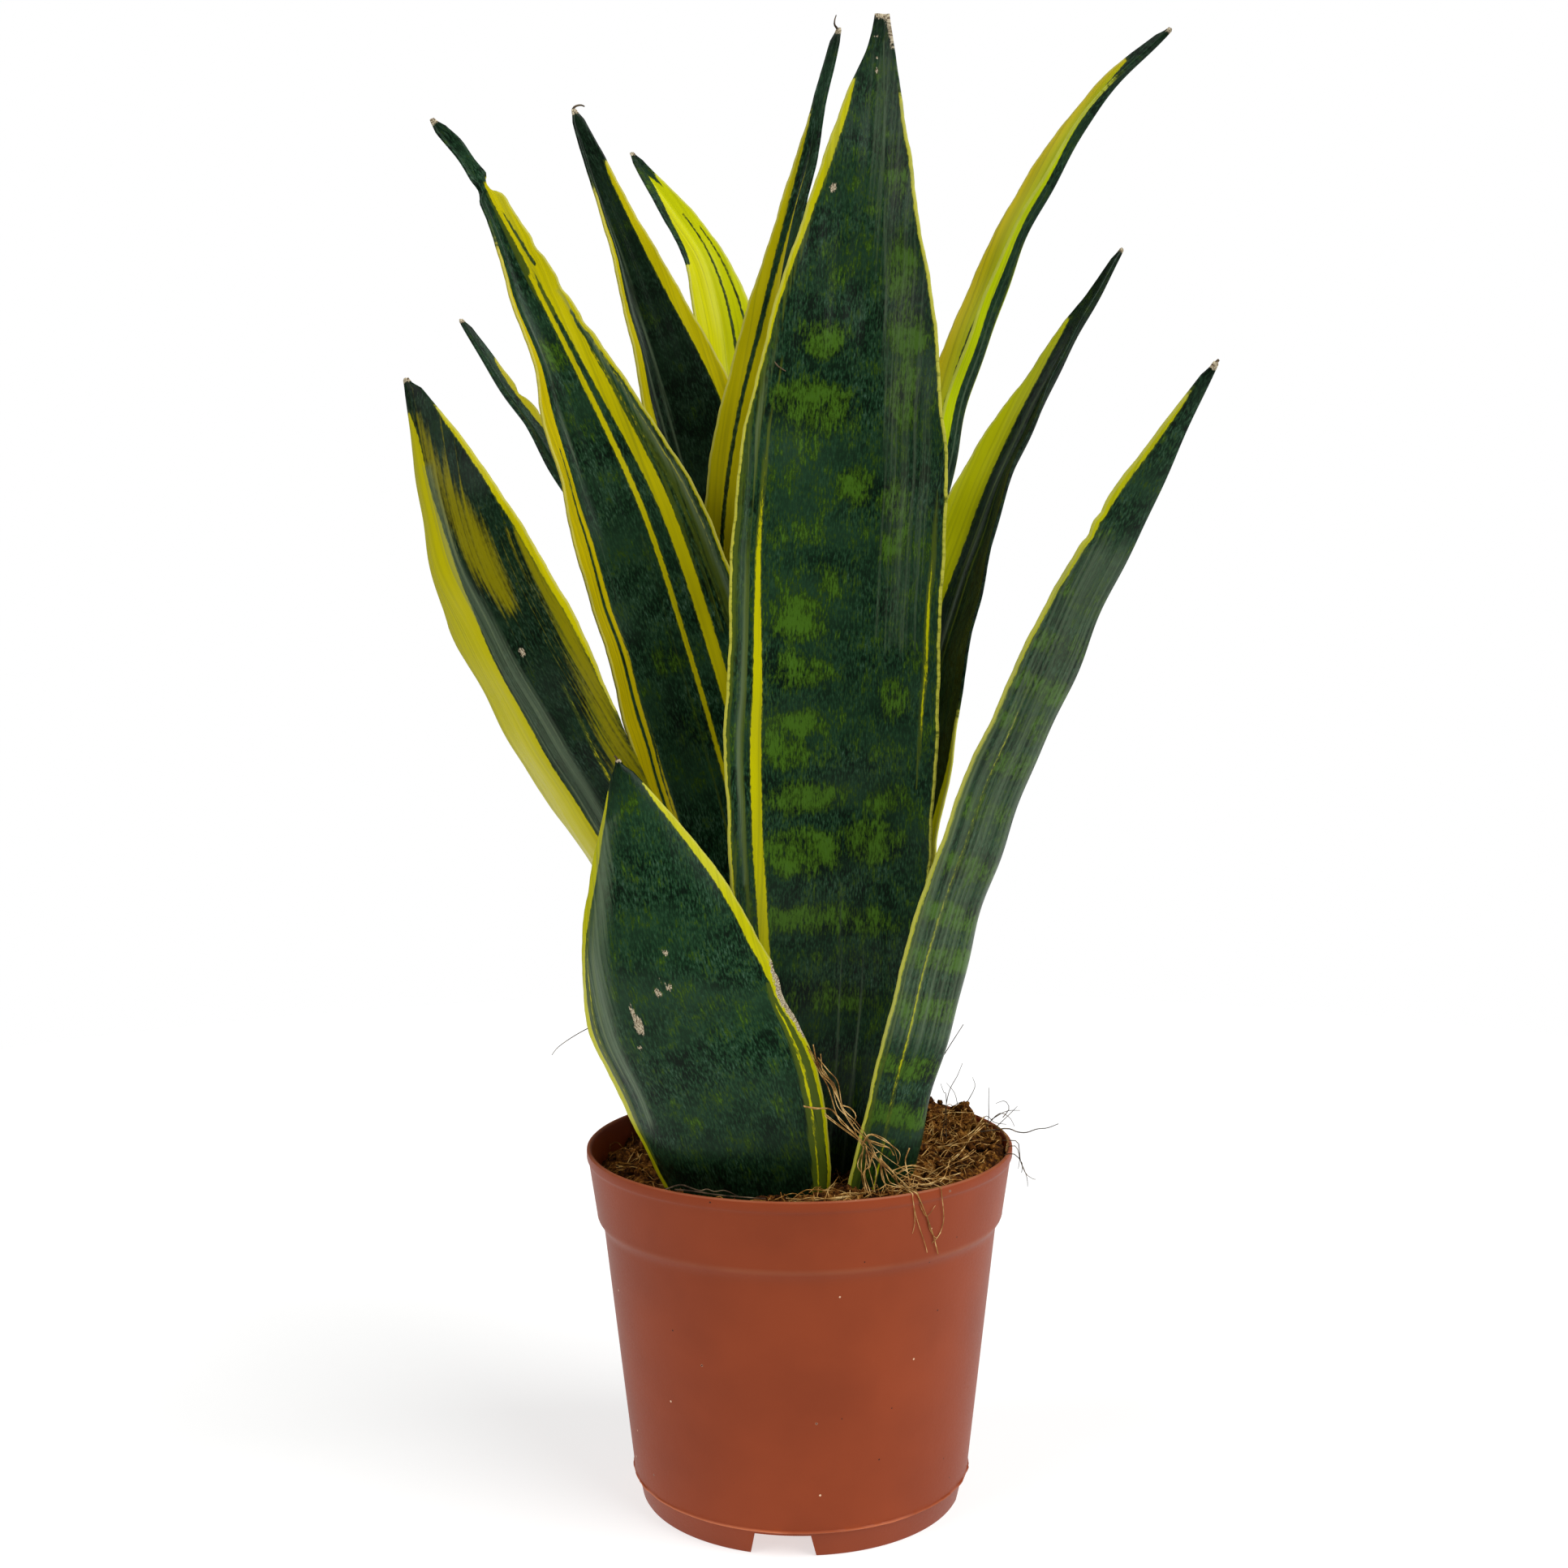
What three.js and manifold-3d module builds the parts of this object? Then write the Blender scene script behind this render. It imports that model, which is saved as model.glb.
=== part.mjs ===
// Snake plant in a twelve-centimetre nursery pot: the pot, the soil plug, eleven leaves and the roots
// that spill over the rim.
//
// Millimetres, +Z up. The pot stands on z = 0 with its axis on the Z axis. The front of the plant looks
// along -Y, so +X is to the right of someone who stands in front of it.

import * as THREE from "three";
import { mergeVertices } from "three/addons/utils/BufferGeometryUtils.js";
import Module from "manifold-3d";

const wasm = await Module();
wasm.setup();

// ---------------------------------------------------------------------------------------------------
// Driving dimensions, mm and degrees

const CLEARANCE = 0.3; // between a leaf or a root and its hole, and between the soil and the pot

const POT = {
  height: 100,
  rimRadius: 60,
  lipDepth: 2.6, // the rolled lip at the top of the band
  lipStep: 0.8, // how far the lip stands out from the band
  bandBottom: 80.6, // where the wide upper band steps in to the wall
  bandRadius: 57.2, // outer radius at the bottom of the band
  stepDrop: 3.4, // height of the slope between the band and the wall
  wallTopRadius: 55.3,
  wallFootRadius: 47.7,
  footHeight: 7.4,
  footInset: 0.9, // the foot ring starts this far inside the wall
  footRadius: 45.3, // outer radius of the foot where it stands
  wall: 1.1,
  basePlate: 1.6,
  segments: 64,
};

const NOTCH = { count: 4, firstAzimuth: -6.6, topWidth: 15, bottomWidth: 18, height: 6.2 };
const DRAIN = { count: 6, holeRadius: 3.6, circleRadius: 31, firstAzimuth: 25, segments: 12 };

const SOIL = {
  height: 96, // at the pot's axis
  rise: 0.06, // slope up towards +X, mm per mm
  crumb: 1.1, // height of the coarse relief
  segments: 56,
  rings: [0.16, 0.3, 0.43, 0.55, 0.66, 0.76, 0.85, 0.93], // radii of the relief, as parts of the edge
};
const CLUMP = { x: 43, y: 27, height: 5.5, spread: 5.5 }; // the lump of coir behind the right leaves

const BLADE = {
  rows: 22,
  columns: 6,
  baseThickness: 4.4,
  tipThickness: 1.3,
  marginThickness: 0.9,
  foldWidth: 0.15, // half-width of the crease, as a part of the blade's half-width
  sectionSteps: 16,
  socketRows: 7, // rows of the blade that stand in the soil or just above it
};

// Each leaf: spine = points of its middle line from the root to the tip, half = half-widths and
// facing = azimuths of the inner face (0 looks to the front, 90 to +X), both evenly spaced along the
// leaf, fold = how far each half turns up at the crease, curl = how far the margins roll in on top of
// that, crease = where the crease lies across the blade, from -1 to 1.
const LEAVES = {
  leaf_front_tall: {
    spine: [[3, -22, 80], [8, -27, 160], [10.5, -30, 240], [15.5, -28, 320], [23, -18, 404.5]],
    half: [14, 21, 25.5, 29, 29, 28.5, 22, 12, 2],
    facing: [-5, -10, -12],
    fold: [14, 18, 20],
    curl: [18, 12, 6],
    crease: 0.35,
    color: 0x2c4a33,
  },
  leaf_front_short: {
    spine: [[-11.5, -37, 80], [-21, -43, 115], [-34.5, -47, 152], [-41.5, -45, 187], [-46.5, -42, 211]],
    half: [20, 26, 29, 29.5, 28, 22.5, 12.5, 1],
    facing: [165, 165, 160],
    fold: [4, 8, 14],
    curl: [42, 36, 30],
    crease: 0.5,
    color: 0x22402f,
  },
  leaf_front_right: {
    spine: [[22.5, -32, 80], [35, -38, 130], [48, -46, 181], [64, -56, 225], [98, -80, 306]],
    half: [14.5, 16, 16.5, 15.5, 15, 11.5, 1],
    facing: [-120, -120, -120],
    fold: [30, 38, 40],
    curl: [20, 10, 6],
    crease: 0,
    color: 0x3d5c3c,
  },
  leaf_left_striped: {
    spine: [
      [-15, 2, 80],
      [-18, 2, 160],
      [-36.5, 2, 240],
      [-57, 4, 300],
      [-85.5, 10, 366],
      [-100.5, 13, 386.5],
    ],
    half: [12, 17, 23, 24, 24, 21, 12.5, 5.5, 1.2],
    facing: [35, 40, 42],
    fold: [20, 28, 32],
    curl: [25, 12, 6],
    crease: -0.5,
    color: 0x2e4a2e,
  },
  leaf_far_left: {
    spine: [[-32, -8, 80], [-34, -14, 150], [-67.5, -17, 211], [-93, -16, 261], [-105.5, -8, 312.5]],
    half: [13, 17, 20, 19, 24, 27, 20.5, 2],
    facing: [135, 135, 130],
    fold: [8, 12, 18],
    curl: [30, 26, 20],
    crease: 0,
    color: 0x2c4433,
  },
  leaf_left_back: {
    spine: [[-28, 27, 80], [-36, 42, 170], [-49, 57, 250], [-104.5, 80, 342]],
    half: [8, 13, 16, 13, 7, 1.2],
    facing: [40, 50, 55],
    fold: [20, 25, 30],
    curl: [20, 12, 8],
    crease: 0,
    color: 0x20382b,
  },
  leaf_centre_dark: {
    spine: [[-6, 22, 80], [-7, 26, 160], [-15, 30, 240], [-36, 36, 321], [-64.5, 46, 397.5]],
    half: [12, 16, 19, 19, 18.5, 15, 7, 1.2],
    facing: [30, 36, 40],
    fold: [22, 30, 34],
    curl: [24, 12, 6],
    crease: -0.6,
    color: 0x1d3327,
  },
  leaf_centre_slim: {
    spine: [[12, 5, 80], [1.5, 15, 160], [-14, 16, 260], [-4.5, 15, 335], [13, 15, 411]],
    half: [9, 12, 14, 15, 12.5, 10, 4.5, 1.2],
    facing: [-20, -30, -40],
    fold: [22, 25, 28],
    curl: [20, 12, 6],
    crease: 0,
    color: 0x53602a,
  },
  leaf_back_yellow: {
    spine: [[-4, 42, 80], [-5, 47, 180], [-16, 54, 270], [-25, 66, 348], [-50, 80, 393]],
    half: [10, 13, 16.5, 17, 10.5, 1],
    facing: [20, 25, 30],
    fold: [12, 16, 22],
    curl: [16, 12, 6],
    crease: 0,
    color: 0x8f9a25,
  },
  leaf_right_tall: {
    spine: [
      [24, 32, 80],
      [31.5, 38, 190],
      [46, 40, 292],
      [65, 36, 352],
      [86.5, 30, 392],
      [106.5, 22, 412.5],
    ],
    half: [12, 16, 17, 16, 13.5, 9, 1.2],
    facing: [-60, -75, -80],
    fold: [30, 38, 40],
    curl: [20, 10, 6],
    crease: 0,
    color: 0x6b7c2a,
  },
  leaf_right_middle: {
    spine: [[27, 12, 80], [28.5, 12, 160], [39, 14, 225], [60.5, 22, 288], [96.5, 40, 355]],
    half: [10, 14.5, 18.5, 20, 14.5, 8, 1],
    facing: [-20, -40, -70],
    fold: [25, 30, 36],
    curl: [20, 12, 6],
    crease: 0,
    color: 0x4a6230,
  },
};

// Strands of the pale roots that come out of the soil beside the front leaves, each a route to its free
// end. All start in the same crown.
const ROOTS = {
  radius: 0.55,
  sides: 6,
  crown: { x: 19, y: -47, z: 95.5, radius: 2.2 },
  strands: [
    [[19, -47, 95.5], [17, -50, 104], [11, -50.5, 117], [4, -51.5, 131]],
    [[19, -47, 95.5], [24, -50, 101.5], [29.5, -53.6, 101.6], [32.5, -54, 95], [34, -52.6, 84]],
    [[19, -47, 95.5], [25, -47.5, 100.5], [33, -51.4, 101.6], [36, -51.5, 96], [35.5, -51, 89]],
    [[19, -47, 95.5], [22, -48, 102], [27, -45, 106], [30, -44, 101]],
    [[19, -47, 95.5], [14, -49.5, 99], [5, -52, 98.5], [-4, -53, 99.5]],
  ],
};

// ---------------------------------------------------------------------------------------------------
// Materials

const material = (color, roughness) => new THREE.MeshStandardMaterial({ color, roughness, metalness: 0 });

const POT_PLASTIC = material(0x96462d, 0.45);
const COIR_SOIL = material(0x6a4a26, 0.95);
const ROOT_FIBRE = material(0xa9865a, 0.8);
const LEAF_ROUGHNESS = 0.4;

// ---------------------------------------------------------------------------------------------------
// Solids

const TAU = 2 * Math.PI;
const radians = THREE.MathUtils.degToRad;

/** A manifold solid from a closed geometry whose shared vertices may still be doubled. */
function toSolid(geometry) {
  const bare = geometry.index ? geometry.toNonIndexed() : geometry.clone();
  bare.deleteAttribute("normal");
  bare.deleteAttribute("uv");
  const merged = mergeVertices(bare, 1e-4);
  return new wasm.Manifold(
    new wasm.Mesh({
      numProp: 3,
      vertProperties: Float32Array.from(merged.attributes.position.array),
      triVerts: withoutSlivers(merged.index.array),
    })
  );
}

/** The triangles that keep three different corners once shared vertices are merged. */
function withoutSlivers(index) {
  const kept = [];
  for (let i = 0; i < index.length; i += 3) {
    const [a, b, c] = [index[i], index[i + 1], index[i + 2]];
    if (a !== b && b !== c && c !== a) kept.push(a, b, c);
  }
  return Uint32Array.from(kept);
}

/** The mesh of a manifold solid, named as its node. */
function toMesh(name, solid, surface) {
  const { vertProperties, triVerts } = solid.getMesh();
  const geometry = new THREE.BufferGeometry();
  geometry.setAttribute("position", new THREE.BufferAttribute(Float32Array.from(vertProperties), 3));
  geometry.setIndex(new THREE.BufferAttribute(Uint32Array.from(triVerts), 1));
  geometry.computeVertexNormals();
  const mesh = new THREE.Mesh(geometry, surface);
  mesh.name = name;
  return mesh;
}

/** A profile of [radius, height] turned about the Z axis. */
function turned(profile, segments) {
  const points = profile.map(([radius, height]) => new THREE.Vector2(radius, height));
  return new THREE.LatheGeometry(points, segments).rotateX(Math.PI / 2);
}

/** The value at part q (0 to 1) of evenly spaced values, joined by a Catmull-Rom curve. */
function along(values, q) {
  const last = values.length - 1;
  const at = (i) => {
    if (i < 0) return 2 * values[0] - values[1];
    if (i > last) return 2 * values[last] - values[last - 1];
    return values[i];
  };
  const i = Math.min(Math.floor(q * last), last - 1);
  const t = q * last - i;
  const [a, b, c, d] = [at(i - 1), at(i), at(i + 1), at(i + 2)];
  const [square, cube] = [2 * a - 5 * b + 4 * c - d, 3 * b - a - 3 * c + d];
  return 0.5 * (2 * b + (c - a) * t + square * t ** 2 + cube * t ** 3);
}

// ---------------------------------------------------------------------------------------------------
// Pot

/** The inside of the pot from its base plate to its mouth, as [radius, height]. */
function potInside() {
  const { wall, footHeight, basePlate, bandBottom, height } = POT;
  return [
    [POT.wallFootRadius - wall, footHeight + basePlate],
    [POT.wallTopRadius - wall, bandBottom - POT.stepDrop],
    [POT.bandRadius - wall, bandBottom + 0.6],
    [POT.rimRadius - POT.lipStep - wall, height - POT.lipDepth],
    [POT.rimRadius - wall - 0.2, height - 0.5],
  ];
}

/** The pot's inner radius at a height. */
function insideRadius(z) {
  const line = potInside();
  const next = line.findIndex(([, height], i) => i > 0 && (height >= z || i === line.length - 1));
  const [[r0, z0], [r1, z1]] = [line[next - 1], line[next]];
  return r0 + ((r1 - r0) * (z - z0)) / (z1 - z0);
}

/** One notch of the foot ring, as a wedge that runs out along +X. */
function notchCutter() {
  const { topWidth, bottomWidth, height } = NOTCH;
  const outline = new THREE.Shape([
    new THREE.Vector2(-bottomWidth / 2, -1),
    new THREE.Vector2(bottomWidth / 2, -1),
    new THREE.Vector2(topWidth / 2, height),
    new THREE.Vector2(-topWidth / 2, height),
  ]);
  const reach = 20;
  const cutter = new THREE.ExtrudeGeometry(outline, { depth: reach, bevelEnabled: false });
  // The outline's x runs across the notch and its y upwards.
  cutter.rotateX(Math.PI / 2).rotateZ(Math.PI / 2);
  return cutter.translate(POT.footRadius - reach / 2, 0, 0);
}

function pot() {
  const { footHeight, footInset, footRadius, wall, basePlate, height, rimRadius, lipDepth } = POT;
  const floor = footHeight + basePlate;
  const outside = [
    [rimRadius - 0.4, height],
    [rimRadius, height - 0.5],
    [rimRadius, height - lipDepth],
    [rimRadius - POT.lipStep, height - lipDepth - 0.5],
    [POT.bandRadius, POT.bandBottom + 0.6],
    [POT.bandRadius - 0.4, POT.bandBottom - 0.2],
    [POT.wallTopRadius, POT.bandBottom - POT.stepDrop],
    [POT.wallFootRadius, footHeight + 0.6],
    [POT.wallFootRadius - footInset, footHeight - 0.3],
    [footRadius, 0],
    [footRadius - 1.5, 0],
    [POT.wallFootRadius - footInset - 2, footHeight],
    [0, footHeight],
  ];
  const profile = [[0, floor], ...potInside(), ...outside].reverse();
  let solid = toSolid(turned(profile, POT.segments));

  for (let i = 0; i < NOTCH.count; i++) {
    const azimuth = -90 + NOTCH.firstAzimuth + (i * 360) / NOTCH.count;
    solid = solid.subtract(toSolid(notchCutter().rotateZ(radians(azimuth))));
  }
  for (let i = 0; i < DRAIN.count; i++) {
    const azimuth = radians(DRAIN.firstAzimuth + (i * 360) / DRAIN.count);
    const { holeRadius, circleRadius, segments } = DRAIN;
    const drain = new THREE.CylinderGeometry(holeRadius, holeRadius, 4 * basePlate, segments);
    drain.rotateX(Math.PI / 2);
    drain.translate(circleRadius * Math.cos(azimuth), circleRadius * Math.sin(azimuth), floor - wall);
    solid = solid.subtract(toSolid(drain));
  }
  return solid;
}

// ---------------------------------------------------------------------------------------------------
// Leaves

/** The route of a leaf's middle line and its measures, ready to be read at any part of its length. */
function leafSpine({ spine }) {
  const points = spine.map((point) => new THREE.Vector3(...point));
  return new THREE.CatmullRomCurve3(points, false, "catmullrom", 0.5);
}

/** The point of a blade at u across (-1 to 1), s along (0 to 1) and side (1 inner face, -1 outer). */
function bladePoint(leaf, curve, u, s, side, grow) {
  const middle = curve.getPointAt(s);
  const tangent = curve.getTangentAt(s);
  const azimuth = radians(along(leaf.facing, s));
  const inner = new THREE.Vector3(Math.sin(azimuth), -Math.cos(azimuth), 0);
  inner.addScaledVector(tangent, -inner.dot(tangent)).normalize();
  const across = new THREE.Vector3().crossVectors(tangent, inner);

  const half = along(leaf.half, s) + grow;
  const fold = radians(along(leaf.fold, s));
  const curl = radians(along(leaf.curl, s));
  const bend = (v) => fold * Math.tanh((v - leaf.crease) / BLADE.foldWidth) + curl * v;

  let x = 0;
  let y = 0;
  for (let k = 0; k < BLADE.sectionSteps; k++) {
    const angle = bend((u * (k + 0.5)) / BLADE.sectionSteps);
    x += (Math.cos(angle) * u * half) / BLADE.sectionSteps;
    y += (Math.sin(angle) * u * half) / BLADE.sectionSteps;
  }
  const middleThickness = THREE.MathUtils.lerp(BLADE.baseThickness, BLADE.tipThickness, s);
  const thickness = THREE.MathUtils.lerp(middleThickness, BLADE.marginThickness, u * u) + 2 * grow;
  x -= (Math.sin(bend(u)) * side * thickness) / 2;
  y += (Math.cos(bend(u)) * side * thickness) / 2;
  return middle.addScaledVector(across, x).addScaledVector(inner, y);
}

/** A leaf's blade as a closed solid, grown by some mm all round and cut off after some rows. */
function blade(leaf, grow = 0, rows = BLADE.rows) {
  const { columns } = BLADE;
  const curve = leafSpine(leaf);
  const face = new THREE.PlaneGeometry(2, 1, columns, rows);
  const count = face.attributes.position.count;
  const corners = [];
  for (const side of [1, -1]) {
    for (let i = 0; i < count; i++) {
      const s = ((face.attributes.position.getY(i) + 0.5) * rows) / BLADE.rows;
      const point = bladePoint(leaf, curve, face.attributes.position.getX(i), s, side, grow);
      corners.push(point.x, point.y, s === 0 ? point.z - grow : point.z);
    }
  }
  const index = Array.from(face.index.array);
  for (let i = 0; i < face.index.count; i += 3) {
    index.push(index[i] + count, index[i + 2] + count, index[i + 1] + count);
  }
  const at = (column, row) => (rows - row) * (columns + 1) + column;
  const border = [];
  for (let i = 0; i < columns; i++) border.push(at(i, 0));
  for (let i = 0; i < rows; i++) border.push(at(columns, i));
  for (let i = columns; i > 0; i--) border.push(at(i, rows));
  for (let i = rows; i > 0; i--) border.push(at(0, i));
  border.forEach((p, i) => {
    const q = border[(i + 1) % border.length];
    index.push(p + count, q + count, q, p + count, q, p);
  });
  const geometry = new THREE.BufferGeometry();
  geometry.setAttribute("position", new THREE.Float32BufferAttribute(corners, 3));
  geometry.setIndex(index);
  return toSolid(geometry);
}

// ---------------------------------------------------------------------------------------------------
// Roots

/** One strand as a tube along its route. */
function strand(route, radius) {
  const section = new THREE.Shape();
  for (let i = 0; i < ROOTS.sides; i++) {
    const turn = (i * TAU) / ROOTS.sides;
    const corner = [radius * Math.cos(turn), radius * Math.sin(turn)];
    if (i === 0) section.moveTo(...corner);
    else section.lineTo(...corner);
  }
  section.closePath();
  const extrudePath = new THREE.CatmullRomCurve3(route.map((point) => new THREE.Vector3(...point)));
  return toSolid(new THREE.ExtrudeGeometry(section, { steps: 4 * (route.length - 1), extrudePath }));
}

/** The crown and its strands, grown by some mm. */
function roots(grow = 0) {
  const { crown, radius, strands } = ROOTS;
  const knot = new THREE.IcosahedronGeometry(crown.radius + grow, 1).translate(crown.x, crown.y, crown.z);
  return strands.reduce((whole, route) => whole.add(strand(route, radius + grow)), toSolid(knot));
}

// ---------------------------------------------------------------------------------------------------
// Soil

/** Height of the soil at a place. */
function soilHeight(x, y) {
  const coarse = Math.sin(0.31 * x + 1.3) * Math.sin(0.37 * y + 0.4);
  const fine = Math.sin(0.73 * x) * Math.sin(0.67 * y + 2);
  const away = ((x - CLUMP.x) ** 2 + (y - CLUMP.y) ** 2) / (2 * CLUMP.spread ** 2);
  const relief = SOIL.crumb * (coarse + 0.6 * fine);
  return SOIL.height + SOIL.rise * x + relief + CLUMP.height * Math.exp(-away);
}

/** The plug of soil, before the leaves stand in it. */
function soilPlug() {
  const floor = POT.footHeight + POT.basePlate + CLEARANCE;
  const edge = insideRadius(SOIL.height) - CLEARANCE;
  const side = potInside().slice(1, 3).map(([radius, z]) => [radius - CLEARANCE, z]);
  const top = [1, ...SOIL.rings.toReversed(), 0].map((part) => [part * edge, SOIL.height]);
  const profile = [[0, floor], [insideRadius(floor) - CLEARANCE, floor], ...side, ...top];
  const geometry = turned(profile, SOIL.segments);
  const place = geometry.attributes.position;
  for (let i = 0; i < place.count; i++) {
    if (Math.abs(place.getZ(i) - SOIL.height) > 1e-6) continue;
    const radius = Math.hypot(place.getX(i), place.getY(i));
    const z = soilHeight(place.getX(i), place.getY(i));
    const room = insideRadius(Math.min(z, POT.height - POT.lipDepth)) - CLEARANCE;
    const fit = 1 + (radius / edge) ** 8 * (room / edge - 1);
    place.setXYZ(i, fit * place.getX(i), fit * place.getY(i), z);
  }
  return toSolid(geometry);
}

/** The soil with a plain hole for each leaf and for the roots. */
function soil() {
  const holes = Object.values(LEAVES).map((leaf) => blade(leaf, CLEARANCE, BLADE.socketRows));
  return [...holes, roots(CLEARANCE)].reduce((plug, hole) => plug.subtract(hole), soilPlug());
}

// ---------------------------------------------------------------------------------------------------
// The plant

const plant = new THREE.Group();
plant.add(toMesh("pot", pot(), POT_PLASTIC));
plant.add(toMesh("soil", soil(), COIR_SOIL));
for (const [name, leaf] of Object.entries(LEAVES)) {
  plant.add(toMesh(name, blade(leaf), material(leaf.color, LEAF_ROUGHNESS)));
}
plant.add(toMesh("roots", roots(), ROOT_FIBRE));

export default plant;
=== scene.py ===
"""Potted snake plant: nursery pot, coir soil, eleven leaves, roots and loose fibres.

The plant stands on z = 0 with the pot's axis on Z, and its front looks along -Y. Sizes in the classes
are millimetres; meshes are in metres.
"""

import logging
import math
import random
from dataclasses import dataclass, field
from enum import Enum
from typing import Any, Mapping, Sequence

import bmesh
import bpy
import numpy as np
from mathutils import Euler, Matrix, Vector, noise


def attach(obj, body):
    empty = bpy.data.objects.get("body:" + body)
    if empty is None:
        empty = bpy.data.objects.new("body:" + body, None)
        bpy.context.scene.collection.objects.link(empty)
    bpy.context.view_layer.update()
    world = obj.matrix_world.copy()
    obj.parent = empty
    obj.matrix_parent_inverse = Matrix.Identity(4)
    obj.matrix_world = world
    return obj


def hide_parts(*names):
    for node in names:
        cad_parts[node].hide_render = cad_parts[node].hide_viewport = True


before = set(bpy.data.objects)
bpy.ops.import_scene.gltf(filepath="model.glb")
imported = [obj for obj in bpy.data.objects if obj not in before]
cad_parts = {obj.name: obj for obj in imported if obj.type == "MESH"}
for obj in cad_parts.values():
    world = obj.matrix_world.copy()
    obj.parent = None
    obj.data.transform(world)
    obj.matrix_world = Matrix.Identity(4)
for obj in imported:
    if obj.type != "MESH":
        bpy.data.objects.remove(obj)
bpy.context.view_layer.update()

log = logging.getLogger("snake_plant")

MM = 0.001
ROOT_BODY = "root"

Point = tuple[float, float, float]
Points = tuple[Point, ...]
Pair = tuple[float, float]
Pairs = tuple[Pair, ...]
Values = tuple[float, ...]


# -----------------------------------------------------------------------------------------------------
# Colour and nodes


def linear(code: str) -> tuple[float, float, float, float]:
    """Turn an sRGB hex colour into linear RGBA.

    Args:
        code: Six hex digits with a leading #.

    Returns:
        The colour as Blender's sockets take it.
    """
    parts = (int(code[i : i + 2], 16) / 255 for i in (1, 3, 5))
    red, green, blue = (c / 12.92 if c <= 0.04045 else ((c + 0.055) / 1.055) ** 2.4 for c in parts)
    return red, green, blue, 1.0


def add(
    tree: bpy.types.NodeTree,
    kind: str,
    inputs: Mapping[Any, Any] | None = None,
    stops: Sequence[tuple[float, str]] = (),
    **settings: Any,
) -> bpy.types.Node:
    """Add one node to a material.

    Args:
        tree: The material's node tree.
        kind: The node's type without the ShaderNode prefix.
        inputs: Socket name or number to a value, or to the output that feeds it.
        stops: Positions and hex colours, for a colour ramp.
        **settings: The node's own properties.

    Returns:
        The new node.
    """
    made = tree.nodes.new("ShaderNode" + kind)
    for name, value in settings.items():
        setattr(made, name, value)
    for key, value in (inputs or {}).items():
        if isinstance(value, bpy.types.NodeSocket):
            tree.links.new(value, made.inputs[key])
        else:
            made.inputs[key].default_value = value
    if stops:
        ramp = made.color_ramp.elements
        while len(ramp) < len(stops):
            ramp.new(1.0)
        for element, (position, code) in zip(ramp, stops):
            element.position, element.color = position, linear(code)
    return made


class Finish:
    """A surface finish that becomes one node material."""

    name: str = ""

    def build(self) -> bpy.types.Material:
        """Make the material and let the finish paint it.

        Returns:
            The material.
        """
        material = bpy.data.materials.new(self.name)
        material.use_nodes = True
        tree = material.node_tree
        tree.nodes.clear()
        shader = add(tree, "BsdfPrincipled")
        add(tree, "OutputMaterial", {"Surface": shader.outputs["BSDF"]})
        self.paint(tree, shader)
        return material

    def paint(self, tree: bpy.types.NodeTree, shader: bpy.types.Node) -> None:
        """Fill the material's nodes. Each finish has its own.

        Args:
            tree: The material's node tree.
            shader: The node that the finish feeds.
        """
        raise NotImplementedError


# A Mix node that mixes colours: its output, its factor and the colours it lays one over the other
MIXED, FACTOR, UNDER, OVER = 2, 0, 6, 7


@dataclass(frozen=True)
class Covering:
    """Tissue that covers the dark one where a leaf is marked for it.

    frays says how much each pattern pushes the mark up and down. The covering's edge runs from start,
    where it begins to show, to end, and most is how much it hides there.
    """

    name: str
    mark: str
    start: float
    end: float
    most: float = 1.0
    frays: tuple[tuple[str, float], ...] = ()


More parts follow.
